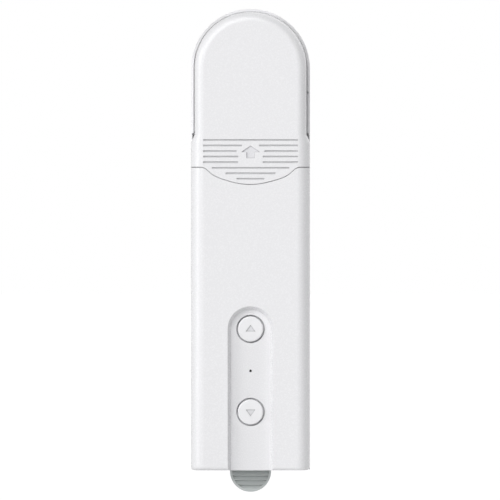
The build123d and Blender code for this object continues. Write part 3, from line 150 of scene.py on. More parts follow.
# How far the pattern swings the roughness: both ways on a plastic, only upwards on a metal
PLASTIC_SWING, METAL_SWING = 0.04, 0.12
# Depths of a turning mark and of a foam cell, in millimetres
MARK_DEPTH, CELL_DEPTH = 0.002, 0.05
# Radians to the metre in a wave texture of scale 1
WAVE_RADIANS = 20.0
# How far light spreads inside acetal in red, green and blue, in millimetres, and how much of it does
ACETAL_SPREAD, ACETAL_SHARE = (0.6, 0.5, 0.4), 0.15

# Painted shade: a fine dark line painted where a wall meets a floor, its reach in millimetres, and the
# brightness that it leaves
SIGN_SHADE_LINE, ARROW_SHADE_LINE, TAB_SHADE_LINE = (0.6, 0.55), (0.35, 0.55), (0.4, 0.65)
# The painted shade line fades from the first to the second share of open sky over a point
SHADE_LINE_OPENNESS = (0.4, 0.95)

# Lights: turn to the right of the camera, rise, and width of the disc, in degrees
KEY_PLACE = {"turn": -58, "rise": 10, "spread": 24}
FRONT_PLACE = {"turn": -18, "rise": 26, "spread": 45}
REAR_PLACE = {"turn": 134, "rise": 40, "spread": 40}
# Camera's sensor in millimetres, and the nearest and farthest that it sees in metres
SENSOR_WIDTH, NEAREST, FARTHEST = 36.0, 0.1, 100.0
# Share of the floor that glows where it is seen, and how brightly: enough to show white, while the rest
# is paint that keeps the shadow
FLOOR_GLOW_SHARE, FLOOR_GLOW = 0.65, 1.25


def linear(hex_colour):
    """Turn an sRGB hex colour into linear red, green and blue."""
    channels = [int(hex_colour[index:index + 2], 16) / 255 for index in (1, 3, 5)]
    return [c / 12.92 if c <= 0.04045 else ((c + 0.055) / 1.055) ** 2.4 for c in channels]


def colour_property(name, description, hex_colour):
    """A colour that a user can change, given as its sRGB hex value."""
    return bpy.props.FloatVectorProperty(
        name=name, description=description, subtype="COLOR", size=3, min=0.0, max=1.0,
        default=linear(hex_colour),
    )


def length_property(name, description, millimetres):
    """A length that a user can change, kept in metres."""
    return bpy.props.FloatProperty(
        name=name, description=description, unit="LENGTH", min=0.0, precision=5,
        default=millimetres * MM,
    )


def strength_property(name, description, strength):
    """How strong a light is."""
    return bpy.props.FloatProperty(name=name, description=description, default=strength, min=0.0)


class CasingColours(bpy.types.PropertyGroup):
    """Colours of the pieces that show from outside."""

    casing: colour_property("Casing", "White of the two shells and the cover", "#ECECEE")
    # Recess floor: a darker white painted as the shade in the recess
    recess: colour_property("Recess floor", "White of the recess's floor, a trace duller", "#E5E5E7")
    button: colour_property("Buttons", "White of the two push buttons", "#EBEBED")
    # Grip lines: a grey painted as the shade within the sunk grooves
    grip_groove_shade: colour_property("Grip lines", "Grey in the sunk grip lines", "#CDCDCF")
    # Arrow: a pale grey painted as the shade within the sunk arrow
    arrow: colour_property("Arrow", "Pale grey in the sunk arrow", "#E2E2E5")
    # Button signs: a pale grey painted as the shade within the sunk triangles
    sign: colour_property("Button signs", "Pale grey in the buttons' sunk triangles", "#DDDDE0")
    tab: colour_property("Tab", "Grey of the release lever", "#C9CECD")
    bracket: colour_property("Bracket", "White of the wall bracket", "#E6E6E4")
    window: colour_property("Light window", "Smoked clear plastic of the status light", "#141518")
    foam: colour_property("Foam", "White foam of the adhesive pad", "#E9E8E2")


class MechanismColours(bpy.types.PropertyGroup):
    """Colours of the pieces inside."""

    gear: colour_property("Gears", "Natural acetal of gears and chain wheel", "#EFEDE4")
    housing: colour_property("Gearbox", "Glass-filled nylon of the gearbox", "#D9D9D6")
    black: colour_property("Black plastic", "End cap, switches and chips", "#1B1B1D")
    mask: colour_property("Solder mask", "Green lacquer on the circuit board", "#1E5B3A")
    sleeve: colour_property("Cell sleeve", "Shrink sleeve round the cells", "#2F5F97")


class SurfaceSizes(bpy.types.PropertyGroup):
    """Real sizes of the surface patterns."""

    # A real eroded texture is about a tenth as wide, and turning marks are about a fifth as far apart: both
    # would be too fine to show
    casing_grain: length_property("Casing grain", "Pitch of the eroded mould texture", 0.5)
    casing_depth: length_property("Casing depth", "Depth of the eroded mould texture", 0.001)
    soft_edge: length_property("Soft edge", "Radius that a mould leaves on an edge", 0.2)
    turning_mark: length_property("Turning mark", "Distance between turning or brushing marks", 0.7)
    foam_cell: length_property("Foam cell", "Width of a cell in the foam's skin", 0.9)


class StudioSizes(bpy.types.PropertyGroup):
    """Camera, floor and lights."""

    frame_width: length_property("Frame width", "Width that the picture shows at the casing's sides", 203.25)
    aim_x: bpy.props.FloatProperty(
        name="Aim sideways", description="Sideways place of the picture's middle", unit="LENGTH",
        default=-0.22 * MM, precision=5,
    )
    aim_z: bpy.props.FloatProperty(
        name="Aim height", description="Height of the picture's middle", unit="LENGTH",
        default=42.5 * MM, precision=5,
    )
    lens: bpy.props.FloatProperty(
        name="Lens", description="Focal length in millimetres", subtype="NONE", default=600.0, min=50.0,
    )
    floor_drop: length_property("Floor drop", "Floor's depth below the part, past its downward travel", 26.0)
    floor_half: length_property("Floor reach", "Half the floor's width", 20000.0)
    key: strength_property("Key light", "Strength of the soft light from the far left", 0.8)
    front: strength_property("Front light", "Strength of the wide light above the camera's left", 1.72)
    rear: strength_property("Rear light", "Strength of the soft light from the right and behind", 2.0)
    room: strength_property("Room", "Brightness of the room all round", 0.115)


def add_node(tree, kind, settings=None, **inputs):
    """Add one shader node. Settings are its own properties. Inputs are values or other nodes' outputs, each
    by its socket's name, or by an underscore and its number."""
    node = tree.nodes.new(kind)
    for name, value in (settings or {}).items():
        setattr(node, name, value)
    for name, value in inputs.items():
        key = int(name[1:]) if name[0] == "_" else name.replace("_", " ")
        if isinstance(value, bpy.types.NodeSocket):
            tree.links.new(value, node.inputs[key])
        else:
            node.inputs[key].default_value = value
    return node


def opaque(colour):
    """A colour with full alpha, as colour sockets want it."""
    return (*colour[:3], 1.0)


def shade(colour, factor):
    """The same colour, darker or lighter."""
    return opaque([min(1.0, channel * factor) for channel in colour[:3]])


def tinted(colour, shares):
    """The darkest and the lightest shade of a colour in a pattern."""
    return [shade(colour, share) for share in shares]


def new_material(name):
    """An empty node material with its output and surface shader."""
    material = bpy.data.materials.new(name)
    material.use_nodes = True
    tree = material.node_tree
    tree.nodes.clear()
    surface = add_node(tree, "ShaderNodeBsdfPrincipled")
    add_node(tree, "ShaderNodeOutputMaterial", Surface=surface.outputs["BSDF"])
    return material, tree, surface


def place_in_metres(tree):
    """The surface point in the part's own frame, in metres."""
    return add_node(tree, "ShaderNodeTexCoord").outputs["Object"]


def grain(tree, surface, size, depth, shades, roughness, edge=0.0):
    """Give a surface a fine uneven grain in its height, its colour and its gloss, and soft edges."""
    low, high = shades
    point = place_in_metres(tree)
    noise = add_node(tree, "ShaderNodeTexNoise", Vector=point, Scale=1 / size, Detail=3.0, Roughness=0.6)
    tint = add_node(tree, "ShaderNodeMix", {"data_type": "RGBA"}, _0=noise.outputs["Fac"], _6=low, _7=high)
    tree.links.new(tint.outputs[2], surface.inputs["Base Color"])
    gloss = add_node(tree, "ShaderNodeMapRange", Value=noise.outputs["Fac"],
                     To_Min=roughness - PLASTIC_SWING, To_Max=roughness + PLASTIC_SWING)
    tree.links.new(gloss.outputs["Result"], surface.inputs["Roughness"])
    bump = add_node(tree, "ShaderNodeBump", Height=noise.outputs["Fac"], Distance=depth, Strength=1.0)
    if edge:
        rounded = add_node(tree, "ShaderNodeBevel", {"samples": 4}, Radius=edge)
        tree.links.new(rounded.outputs["Normal"], bump.inputs["Normal"])
    tree.links.new(bump.outputs["Normal"], surface.inputs["Normal"])


def within(tree, field):
    """One where the surface lies in a field of the unit, and nought elsewhere."""
    corners = [spot(*corner) for corner in field]
    axes = add_node(tree, "ShaderNodeSeparateXYZ", Vector=place_in_metres(tree)).outputs
    inside = 1.0
    for axis, ends in zip(axes, zip(*corners)):
        for operation, limit in (("GREATER_THAN", min(ends)), ("LESS_THAN", max(ends))):
            test = add_node(tree, "ShaderNodeMath", {"operation": operation}, _0=axis, _1=limit)
            inside = add_node(tree, "ShaderNodeMath", {"operation": "MULTIPLY"}, _0=inside,
                              _1=test.outputs[0]).outputs[0]
    return inside


def moulded_plastic(name, colour, roughness, size, depth, edge=0.0):
    """A hard plastic from an eroded mould: satin, with an even grain that breaks up the gloss."""
    material, tree, surface = new_material(name)
    surface.inputs["IOR"].default_value = MOULDED_IOR
    grain(tree, surface, size, depth, tinted(colour, MOULDED_TINTS), roughness, edge)
    return material


def painted_shade_by_walls(tree, base, reach, share):
    """A colour with painted shade: it darkens within reach of a wall, where shade falls at the wall's foot.
    """
    openness = add_node(tree, "ShaderNodeAmbientOcclusion", {"samples": 12}, Distance=reach * MM)
    shut, clear = SHADE_LINE_OPENNESS
    line = add_node(tree, "ShaderNodeMapRange", Value=openness.outputs["AO"], From_Min=shut, From_Max=clear,
                    To_Min=share, To_Max=1.0)
    return add_node(tree, "ShaderNodeMix", {"data_type": "RGBA", "blend_type": "MULTIPLY"}, _0=1.0, _6=base,
                    _7=line.outputs["Result"]).outputs[2]


def paint_shade_line(material, reach, share):
    """Paint the shade line by the walls over a whole finish."""
    tree = material.node_tree
    surface = tree.nodes["Principled BSDF"]
    plain = surface.inputs["Base Color"].links[0].from_socket
    tree.links.new(painted_shade_by_walls(tree, plain, reach, share), surface.inputs["Base Color"])


def paint_shade_in_field(material, field, colour, line=None):
    """Paint a darker colour as shade over a finish within a field, and a painted shade line by the walls if
    one is given.
    """
    tree = material.node_tree
    surface = tree.nodes["Principled BSDF"]
    plain = surface.inputs["Base Color"].links[0].from_socket
    paint = painted_shade_by_walls(tree, opaque(colour), *line) if line else opaque(colour)
    tint = add_node(tree, "ShaderNodeMix", {"data_type": "RGBA"}, _0=within(tree, field), _6=plain,
                    _7=paint)
    tree.links.new(tint.outputs[2], surface.inputs["Base Color"])


def natural_acetal(name, colour):
    """Acetal as moulded: milky, a little waxy, smooth enough for a soft highlight."""
    material, tree, surface = new_material(name)
    surface.inputs["IOR"].default_value = ACETAL_IOR
    surface.inputs["Subsurface Weight"].default_value = ACETAL_SHARE
    surface.inputs["Subsurface Radius"].default_value = [spread * MM for spread in ACETAL_SPREAD]
    surface.inputs["Subsurface Scale"].default_value = 1.0
    grain(tree, surface, size=0.8 * MM, depth=0.002 * MM, shades=tinted(colour, ACETAL_TINTS),
          roughness=0.33)
    return material


def turned_metal(name, hex_colour, roughness, pitch, axis):
    """Bare metal from the lathe or the rolling mill: fine marks across an axis stretch the highlight."""
    material, tree, surface = new_material(name)
    surface.inputs["Metallic"].default_value = 1.0
    marks = add_node(
        tree, "ShaderNodeTexWave", {"bands_direction": axis}, Vector=place_in_metres(tree),
        Scale=2 * math.pi / (WAVE_RADIANS * pitch), Distortion=2.0, Detail=2.0,
    )
    low, high = tinted(linear(hex_colour), METAL_TINTS)
    tint = add_node(tree, "ShaderNodeMix", {"data_type": "RGBA"}, _0=marks.outputs["Fac"], _6=low, _7=high)
    tree.links.new(tint.outputs[2], surface.inputs["Base Color"])
    gloss = add_node(tree, "ShaderNodeMapRange", Value=marks.outputs["Fac"], To_Min=roughness,
                     To_Max=roughness + METAL_SWING)
    tree.links.new(gloss.outputs["Result"], surface.inputs["Roughness"])
    bump = add_node(tree, "ShaderNodeBump", Height=marks.outputs["Fac"], Distance=MARK_DEPTH * MM)
    tree.links.new(bump.outputs["Normal"], surface.inputs["Normal"])
    return material


def clear_smoked(name, colour):
    """Smoked acrylic: dark and glossy, so the small window reads as a dot."""
    material, tree, surface = new_material(name)
    surface.inputs["IOR"].default_value = ACRYLIC_IOR
    grain(tree, surface, size=0.3 * MM, depth=0.0005 * MM, shades=tinted(colour, ACRYLIC_TINTS),
          roughness=0.12)
    return material


def foam_skin(name, colour, cell):
    """Closed-cell polyethylene foam: matt, with shallow round cells in its skin and at its cut edge."""
    material, tree, surface = new_material(name)
    surface.inputs["Roughness"].default_value = 0.85
    surface.inputs["IOR"].default_value = FOAM_IOR
    # Real cells are about a third of this width, which would be too fine to show
    cells = add_node(tree, "ShaderNodeTexVoronoi", Vector=place_in_metres(tree), Scale=1 / cell)
    low, high = tinted(colour, FOAM_TINTS)
    tint = add_node(tree, "ShaderNodeMix", {"data_type": "RGBA"}, _0=cells.outputs["Distance"], _6=low,
                    _7=high)
    tree.links.new(tint.outputs[2], surface.inputs["Base Color"])
    bump = add_node(tree, "ShaderNodeBump", Height=cells.outputs["Distance"], Distance=CELL_DEPTH * MM)
    tree.links.new(bump.outputs["Normal"], surface.inputs["Normal"])
    return material


def spot(sideways, depth, height):
    """A place in the unit, given in millimetres, as a point of the shared frame in metres."""
    return Vector((sideways, -depth, height - ORIGIN_HEIGHT)) * MM


def lathe(mesh, profile):
    """Turn a profile of radius and height round the upright axis. A radius may depend on the angle."""
    angles = [2 * math.pi * side / LATHE_SIDES for side in range(LATHE_SIDES)]
    rings = []
    for radius, height in profile:
        reach = [radius(angle) if callable(radius) else radius for angle in angles]
        rings.append([mesh.verts.new((r * math.cos(angle), r * math.sin(angle), height))
                      for r, angle in zip(reach, angles)])
    for upper, lower in zip(rings, rings[1:]):
        join_rings(mesh, upper, lower)
    return rings


def join_rings(mesh, upper, lower):
    """Close the band between two rings of as many vertices."""
    for side in range(len(upper)):
        mesh.faces.new((upper[side - 1], lower[side - 1], lower[side], upper[side]))


def thread_radius(height):
    """Radius of the rolled thread at a height, as a function of the angle."""
    def reach(angle):
        turn = (height / THREAD_PITCH + angle / (2 * math.pi)) % 1.0
        ridge = min(1.0, max(0.0, FLANK_SLOPE * (FLANK_FOOT - abs(turn - 0.5))))
        return THREAD_ROOT + (THREAD_CREST - THREAD_ROOT) * ridge
    return reach


def cross_outline(arm, half):
    """The twelve corners of a cross, in order round it."""
    quarter = [Vector((half, arm)), Vector((half, half)), Vector((arm, half))]
    turns = [Matrix.Rotation(-turn * math.pi / 2, 2) for turn in range(4)]
    return [turn @ corner for turn in turns for corner in quarter]


def cross_recess(mesh, rim, radius, height):
    """Close a head's flat top as far as a cross, and sink the cross with drawn-in walls and a floor."""
    outline = cross_outline(CROSS_ARM * radius, CROSS_HALF_WIDTH * radius)
    top = [mesh.verts.new((*corner, height)) for corner in outline]
    floor = [mesh.verts.new((*(CROSS_DRAWN_IN * corner), CROSS_FLOOR * height)) for corner in outline]
    edges = [mesh.edges.new((top[index - 1], top[index])) for index in range(len(top))]
    edges += [mesh.edges.get((rim[index - 1], rim[index])) for index in range(len(rim))]
    bmesh.ops.triangle_fill(mesh, edges=edges, use_beauty=True)
    join_rings(mesh, top, floor)
    mesh.faces.new(floor)


def pan_head(mesh, radius, height):
    """A pan head with its seat at height nought. Returns the ring under it."""
    rings = lathe(mesh, [(r * radius, h * height) for r, h in HEAD_PROFILE])
    cross_recess(mesh, rings[0], radius, height)
    return rings[-1]


def screw(length, head_radius, head_height):
    """A thread-forming screw with its seat at height nought and its shank below."""
    mesh = bmesh.new()
    under_head = pan_head(mesh, head_radius, head_height)
    rows = int((length - THREAD_CREST) / THREAD_PITCH * ROWS_PER_THREAD)
    heights = [-row * THREAD_PITCH / ROWS_PER_THREAD for row in range(2, rows)]
    profile = [(THREAD_ROOT, 0.0), *[(thread_radius(height), height) for height in heights],
               (THREAD_ROOT, THREAD_ROOT - length), (THREAD_ROOT / 2, -length)]
    rings = lathe(mesh, profile)
    join_rings(mesh, under_head, rings[0])
    mesh.faces.new(rings[-1])
    return mesh


def wheel_screw():
    """The chain wheel's pan head on its washer, with the washer's seat at height nought."""
    mesh = bmesh.new()
    under_head = pan_head(mesh, WHEEL_HEAD_RADIUS, WHEEL_HEAD_HEIGHT)
    bmesh.ops.translate(mesh, vec=(0, 0, WASHER_THICKNESS), verts=mesh.verts)
    rings = lathe(mesh, (
        (WASHER_RADIUS - WASHER_EDGE, WASHER_THICKNESS), (WASHER_RADIUS, WASHER_THICKNESS - WASHER_EDGE),
        (WASHER_RADIUS, WASHER_EDGE), (WASHER_RADIUS - WASHER_EDGE, 0.0),
    ))
    join_rings(mesh, under_head, rings[0])
    mesh.faces.new(rings[-1])
    return mesh


def at_places(pattern, way, places):
    """One mesh with a pattern turned and set at each place, in millimetres."""
    turn = {"forward": -90, "down": 0, "backward": 90}[way]
    whole = bmesh.new()
    for place in places:
        data = bpy.data.meshes.new("pattern")
        pattern.to_mesh(data)
        data.transform(Matrix.Translation(spot(*place) / MM) @ Matrix.Rotation(math.radians(turn), 4, "X"))
        whole.from_mesh(data)
        bpy.data.meshes.remove(data)
    pattern.free()
    return whole


def foam_tape():
    """The tape's two faces and its edge, which bulges between them, in millimetres."""
    mesh = bmesh.new()
    layers = []
    for depth, drawn_in in TAPE_LAYERS:
        loops = [tape_outline(drawn_in)]
        loops += [tape_opening(x, height, drawn_in) for x, height in TAPE_OPENINGS]
        layers.append([[mesh.verts.new(spot(x, depth, height) / MM) for x, height in loop]
                       for loop in loops])
    for back, front in zip(layers, layers[1:]):
        for back_loop, front_loop in zip(back, front):
            join_rings(mesh, back_loop, front_loop)
    for layer in (layers[0], layers[-1]):
        edges = [mesh.edges.get((loop[index - 1], loop[index]))
                 for loop in layer for index in range(len(loop))]
        bmesh.ops.triangle_fill(mesh, edges=edges, use_beauty=True)
    return mesh


def tape_outline(drawn_in):
    """The tape's rounded outline, drawn in all round."""
    corner = TAPE_CORNER - drawn_in
    across = TAPE_HALF_WIDTH - TAPE_CORNER
    points = []
    for quarter, (x, height) in enumerate((
        (across, TAPE_TOP - TAPE_CORNER), (-across, TAPE_TOP - TAPE_CORNER),
        (-across, TAPE_BOTTOM + TAPE_CORNER), (across, TAPE_BOTTOM + TAPE_CORNER),
    )):
        for step in range(TAPE_CORNER_STEPS + 1):
            angle = math.pi / 2 * (quarter + step / TAPE_CORNER_STEPS)
            points.append((x + corner * math.cos(angle), height + corner * math.sin(angle)))
    return points


def tape_opening(x, height, drawn_in):
    """One round opening, widened by as much as the edge is drawn in."""
    radius = TAPE_OPENING_RADIUS + drawn_in
    angles = [2 * math.pi * side / LATHE_SIDES for side in range(LATHE_SIDES)]
    return [(x + radius * math.cos(angle), height + radius * math.sin(angle)) for angle in angles]


def cut_corners(points, times):
    """Round the bends of a line by cutting off each corner, a number of times over."""
    for _ in range(times):
        quarters = [near.lerp(far, share) for near, far in zip(points, points[1:])
                    for share in (0.25, 0.75)]
        points = [points[0], *quarters[1:-1], points[-1]]
    return points


def leaf_spring():
    """A strip of spring steel, bent in two places, in millimetres."""
    line = cut_corners([Vector(point) for point in SPRING_LINE], SPRING_BEND_CUTS)
    mesh = bmesh.new()
    rings = []
    for index, point in enumerate(line):
        along = line[min(index + 1, len(line) - 1)] - line[max(index - 1, 0)]
        out = SPRING_HALF_THICKNESS * Vector((-along.y, along.x)).normalized()
        edges = ((-1, point + out), (1, point + out), (1, point - out), (-1, point - out))
        rings.append([mesh.verts.new(spot(side * SPRING_HALF_WIDTH, *place) / MM)
                      for side, place in edges])
    for lower, upper in zip(rings, rings[1:]):
        join_rings(mesh, upper, lower)
    mesh.faces.new(rings[0])
    mesh.faces.new(rings[-1])
    return mesh


def socket_contacts():
    """Two rows of flat contacts on the socket's tongue, in millimetres."""
    low, high = (Vector(corner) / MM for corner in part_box("usb_socket"))
    start = Vector(((low.x + high.x) / 2, (low.y + high.y) / 2, spot(0, 0, TONGUE_END).z / MM))
    size = Matrix.Diagonal((CONTACT_WIDTH, CONTACT_THICKNESS, CONTACT_LENGTH, 1.0))
    mesh = bmesh.new()
    for index in range(CONTACTS_IN_ROW):
        aside = (index - (CONTACTS_IN_ROW - 1) / 2) * CONTACT_PITCH
        for face in (-TONGUE_HALF_THICKNESS, TONGUE_HALF_THICKNESS):
            middle = start + Vector((aside, face, CONTACT_LENGTH / 2 + CONTACT_WIDTH))
            bmesh.ops.create_cube(mesh, matrix=Matrix.Translation(middle) @ size)
    return mesh


def stand_for(node, body, mesh, material):
    """Turn a mesh in millimetres into a finished piece that rides on a body and stands for a node."""
    piece = finished_piece(node + "_detailed", body, mesh, material)
    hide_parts(node)
    return piece


def finished_piece(name, body, mesh, material):
    """Turn a mesh in millimetres into a finished piece that rides on a body."""
    bmesh.ops.recalc_face_normals(mesh, faces=mesh.faces)
    bmesh.ops.scale(mesh, vec=(MM, MM, MM), verts=mesh.verts)
    data = bpy.data.meshes.new(name)
    mesh.to_mesh(data)
    mesh.free()
    data.shade_smooth()
    data.set_sharp_from_angle(angle=math.radians(SMOOTH_ANGLE))
    data.materials.append(material)
    piece = bpy.data.objects.new(name, data)
    bpy.context.scene.collection.objects.link(piece)
    # Keeps the flat faces flat to the eye beside their narrow rounded edges
    piece.modifiers.new("weighted_normals", "WEIGHTED_NORMAL").keep_sharp = True
    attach(piece, body)
    return piece


def dress(material, *nodes):
    """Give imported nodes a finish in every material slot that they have."""
    for node in nodes:
        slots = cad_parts[node].data.materials
        for index in range(len(slots)):
            slots[index] = material


class SHADE_OT_casing(bpy.types.Operator):
    """Finish the two shells, the recess, and the cover with its sunk grip lines and arrow, with shade
    painted darker on the recess floor and in the sunk lines and arrow
    """

    bl_idname = "shade_motor.casing"
    bl_label = "Casing"

    def execute(self, context):
        colours = context.scene.shade_casing
        sizes = context.scene.shade_surface
        # ABS from a finely eroded mould: smooth from afar, with a soft bright band along each rounded edge
        finish = {"colour": colours.casing, "roughness": 0.27, "size": sizes.casing_grain,
                  "depth": sizes.casing_depth, "edge": sizes.soft_edge}
        dress(moulded_plastic("abs_eroded_white", **finish), "rear_shell")
        abs_front = moulded_plastic("abs_eroded_front", **finish)
        # Painted shade: the recess floor is painted darker than the casing
        paint_shade_in_field(abs_front, RECESS_SHADE_FIELD, colours.recess)
        dress(abs_front, "front_shell")
        abs_cover = moulded_plastic("abs_eroded_cover", **finish)
        # Painted shade: the grip grooves are painted grey
        paint_shade_in_field(abs_cover, GRIP_SHADE_FIELD, colours.grip_groove_shade)
        # Painted shade: the arrow's floor is painted darker, with a painted shade line by its walls
        for field in ARROW_SHADE_FIELDS:
            paint_shade_in_field(abs_cover, field, colours.arrow, ARROW_SHADE_LINE)
        dress(abs_cover, "cover")
        return {"FINISHED"}


class SHADE_OT_buttons(bpy.types.Operator):
    """Finish the two push buttons, their sunk triangles with painted shade, and the status light"""

    bl_idname = "shade_motor.buttons"
    bl_label = "Buttons and light"

    def execute(self, context):
        colours = context.scene.shade_casing
        sizes = context.scene.shade_surface
        # ABS from a satin-blasted mould: a little duller than the casing, with crisper edges
        abs_button = moulded_plastic("abs_satin_white", colours.button, roughness=0.35,
                                     size=sizes.casing_grain, depth=sizes.casing_depth / 2,
                                     edge=sizes.soft_edge / 2)
        # Painted shade: the triangles' floors are painted darker, with a painted shade line by their walls
        for field in TRIANGLE_SHADE_FIELDS:
            paint_shade_in_field(abs_button, field, colours.sign, SIGN_SHADE_LINE)
        dress(abs_button, "up_button", "down_button")
        dress(clear_smoked("acrylic_smoked", colours.window), "light_guide")
        # Cast resin: glossy and faintly yellow
        resin = moulded_plastic("epoxy_clear_resin", linear(CLEAR_RESIN), roughness=0.15, size=0.5 * MM,
                                depth=0.001 * MM)
        dress(resin, "status_led")
        return {"FINISHED"}


class SHADE_OT_lever(bpy.types.Operator):
    """Finish the release lever with its stepped tab, with shade painted in the foot of each step"""

    bl_idname = "shade_motor.lever"
    bl_label = "Release lever"

    def execute(self, context):
        sizes = context.scene.shade_surface
        # ABS in grey: satin, with painted shade that darkens the foot of each step
        abs_tab = moulded_plastic("abs_satin_grey", context.scene.shade_casing.tab, roughness=0.45,
                                  size=sizes.casing_grain, depth=sizes.casing_depth,
                                  edge=sizes.soft_edge / 4)
        paint_shade_line(abs_tab, *TAB_SHADE_LINE)
        dress(abs_tab, "release_lever", "ratchet_pawl")
        # Rolled spring steel: bright, with fine marks along the strip
        steel = turned_metal("steel_spring_strip", BARE_STEEL, roughness=0.22, pitch=sizes.turning_mark,
                             axis="X")
        dress(steel, "lever_pin")
        spring = stand_for("lever_spring", "unit", leaf_spring(), steel)
        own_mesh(spring)
        return {"FINISHED"}


class SHADE_OT_bracket(bpy.types.Operator):
    """Finish the wall bracket and put the foam tape on its back"""

    bl_idname = "shade_motor.bracket"
    bl_label = "Bracket and tape"

    def execute(self, context):
        colours = context.scene.shade_casing
        sizes = context.scene.shade_surface
        # ABS from an unpolished mould: plain and matt, as a part that hides behind another
        dress(moulded_plastic("abs_plain_white", colours.bracket, roughness=0.5, size=sizes.casing_grain,
                              depth=sizes.casing_depth, edge=sizes.soft_edge), "wall_bracket")
        tape = stand_for("adhesive_pad", "bracket", foam_tape(),
                         foam_skin("polyethylene_foam", colours.foam, sizes.foam_cell))
        return {"FINISHED"}


class SHADE_OT_gears(bpy.types.Operator):
    """Finish the gearbox, the gears, their axles and the chain wheel"""

    bl_idname = "shade_motor.gears"
    bl_label = "Gearbox and chain wheel"

    def execute(self, context):
        colours = context.scene.shade_mechanism
        mark = context.scene.shade_surface.turning_mark
        dress(natural_acetal("acetal_natural", colours.gear), "sprocket", "output_gear", "reduction_gear",
              "worm_wheel_gear")
        # Glass-filled nylon: dull and slightly rough, because the fibres come to the skin
        dress(moulded_plastic("nylon_glass_filled", colours.housing, roughness=0.5, size=0.6 * MM,
                              depth=0.008 * MM, edge=0.2 * MM), "gearbox_housing", "gearbox_lid")
        # Ground steel and turned brass: rings round the axis that stretch the highlight along it
        dress(turned_metal("steel_ground", BARE_STEEL, roughness=0.22, pitch=mark, axis="Y"),
              "gear_axles", "output_shaft", "encoder_magnet")
        dress(turned_metal("brass_turned", BRASS, roughness=0.25, pitch=mark, axis="Y"),
              "shaft_bushes")
        return {"FINISHED"}


class SHADE_OT_motor(bpy.types.Operator):
    """Finish the motor with its shaft and worm"""

    bl_idname = "shade_motor.motor"
    bl_label = "Motor"

    def execute(self, context):
        mark = context.scene.shade_surface.turning_mark
        # Drawn and plated steel, and hobbed brass: clean metal with faint rings
        dress(turned_metal("steel_drawn_plated", PLATED_STEEL, roughness=0.28, pitch=mark, axis="Z"),
              "motor_can", "motor_shaft")
        dress(turned_metal("brass_hobbed", BRASS, roughness=0.25, pitch=mark, axis="Z"), "worm")
        # Moulded PBT: black and satin
        black = moulded_plastic("pbt_black", context.scene.shade_mechanism.black, roughness=0.45,
                                size=0.5 * MM, depth=0.004 * MM)
        dress(black, "motor_end_cap")
        return {"FINISHED"}


class SHADE_OT_board(bpy.types.Operator):
    """Finish the circuit board, what it carries, and the two cells"""

    bl_idname = "shade_motor.board"
    bl_label = "Board and cells"

    def execute(self, context):
        colours = context.scene.shade_mechanism
        mark = context.scene.shade_surface.turning_mark
        # Solder mask: glossy lacquer over woven glass, whose cloth shows as slow waves
        dress(moulded_plastic("epoxy_solder_mask", colours.mask, roughness=0.3, size=1.2 * MM,
                              depth=0.003 * MM), "main_board")
        # Moulding compound: black and matt
        dress(moulded_plastic("epoxy_mould_black", colours.black, roughness=0.5, size=0.5 * MM,
                              depth=0.004 * MM), "tact_switches", "board_chips")
        # Tinned sheet and gold plate: bright, with the rolling marks of the metal below
        dress(turned_metal("steel_tinned_sheet", TINNED_STEEL, roughness=0.3, pitch=mark, axis="X"),
              "radio_shield", "usb_socket")
        gold = turned_metal("gold_plated_contact", GOLD, roughness=0.25, pitch=mark / 4, axis="Z")
        finished_piece("socket_contacts", "unit", socket_contacts(), gold)
        # Shrunk PVC film: glossy, and wavy where it drew tight
        dress(moulded_plastic("pvc_shrink_sleeve", colours.sleeve, roughness=0.25, size=2.0 * MM,
                              depth=0.004 * MM), "battery_cells")
        return {"FINISHED"}


class SHADE_OT_screws(bpy.types.Operator):
    """Put in every screw, with its cross recess and its thread"""

    bl_idname = "shade_motor.screws"
    bl_label = "Screws"

    def execute(self, context):
        # Zinc-plated steel: bluish white and half bright
        zinc = turned_metal("steel_zinc_plated", PLATED_STEEL, roughness=0.28,
                            pitch=context.scene.shade_surface.turning_mark, axis="Z")
        for node, (way, seats, *sizes) in SCREWS.items():
            stand_for(node, "unit", at_places(screw(*sizes), way, seats), zinc)
        stand_for("sprocket_screw", "chain_wheel", at_places(wheel_screw(), "backward", (WHEEL_SEAT,)), zinc)
        return {"FINISHED"}


class SHADE_OT_studio(bpy.types.Operator):
    """Set up the camera, the floor, the lights and the white surroundings"""

    bl_idname = "shade_motor.studio"
    bl_label = "Studio"

    def execute(self, context):
        sizes = context.scene.shade_studio
        set_camera(context.scene, sizes)
        lay_floor(sizes)
        hang_light("key_light", sizes.key, **KEY_PLACE)
        hang_light("front_light", sizes.front, **FRONT_PLACE)
        rear = hang_light("rear_light", sizes.rear, **REAR_PLACE)
        # Its mirror image would lie along the rounded right edges, where the photograph has none
        rear.visible_glossy = False
        fill_world(context.scene, sizes.room)
        context.scene.view_settings.view_transform = "Standard"
        return {"FINISHED"}


def set_camera(scene, sizes):
    """Stand the camera straight in front, far away, so that the sides hardly converge."""
    camera = bpy.data.cameras.new("photo_camera")
    camera.lens = sizes.lens
    camera.sensor_width = SENSOR_WIDTH
    side_plane = spot(0, SIDE_DEPTH, 0).y
    distance = sizes.frame_width * sizes.lens / SENSOR_WIDTH
    camera.clip_start = NEAREST
    camera.clip_end = FARTHEST
    holder = bpy.data.objects.new("photo_camera", camera)
    holder.location = (sizes.aim_x, side_plane - distance, sizes.aim_z)
    holder.rotation_euler = (math.radians(90), 0, 0)
    scene.collection.objects.link(holder)
    scene.camera = holder


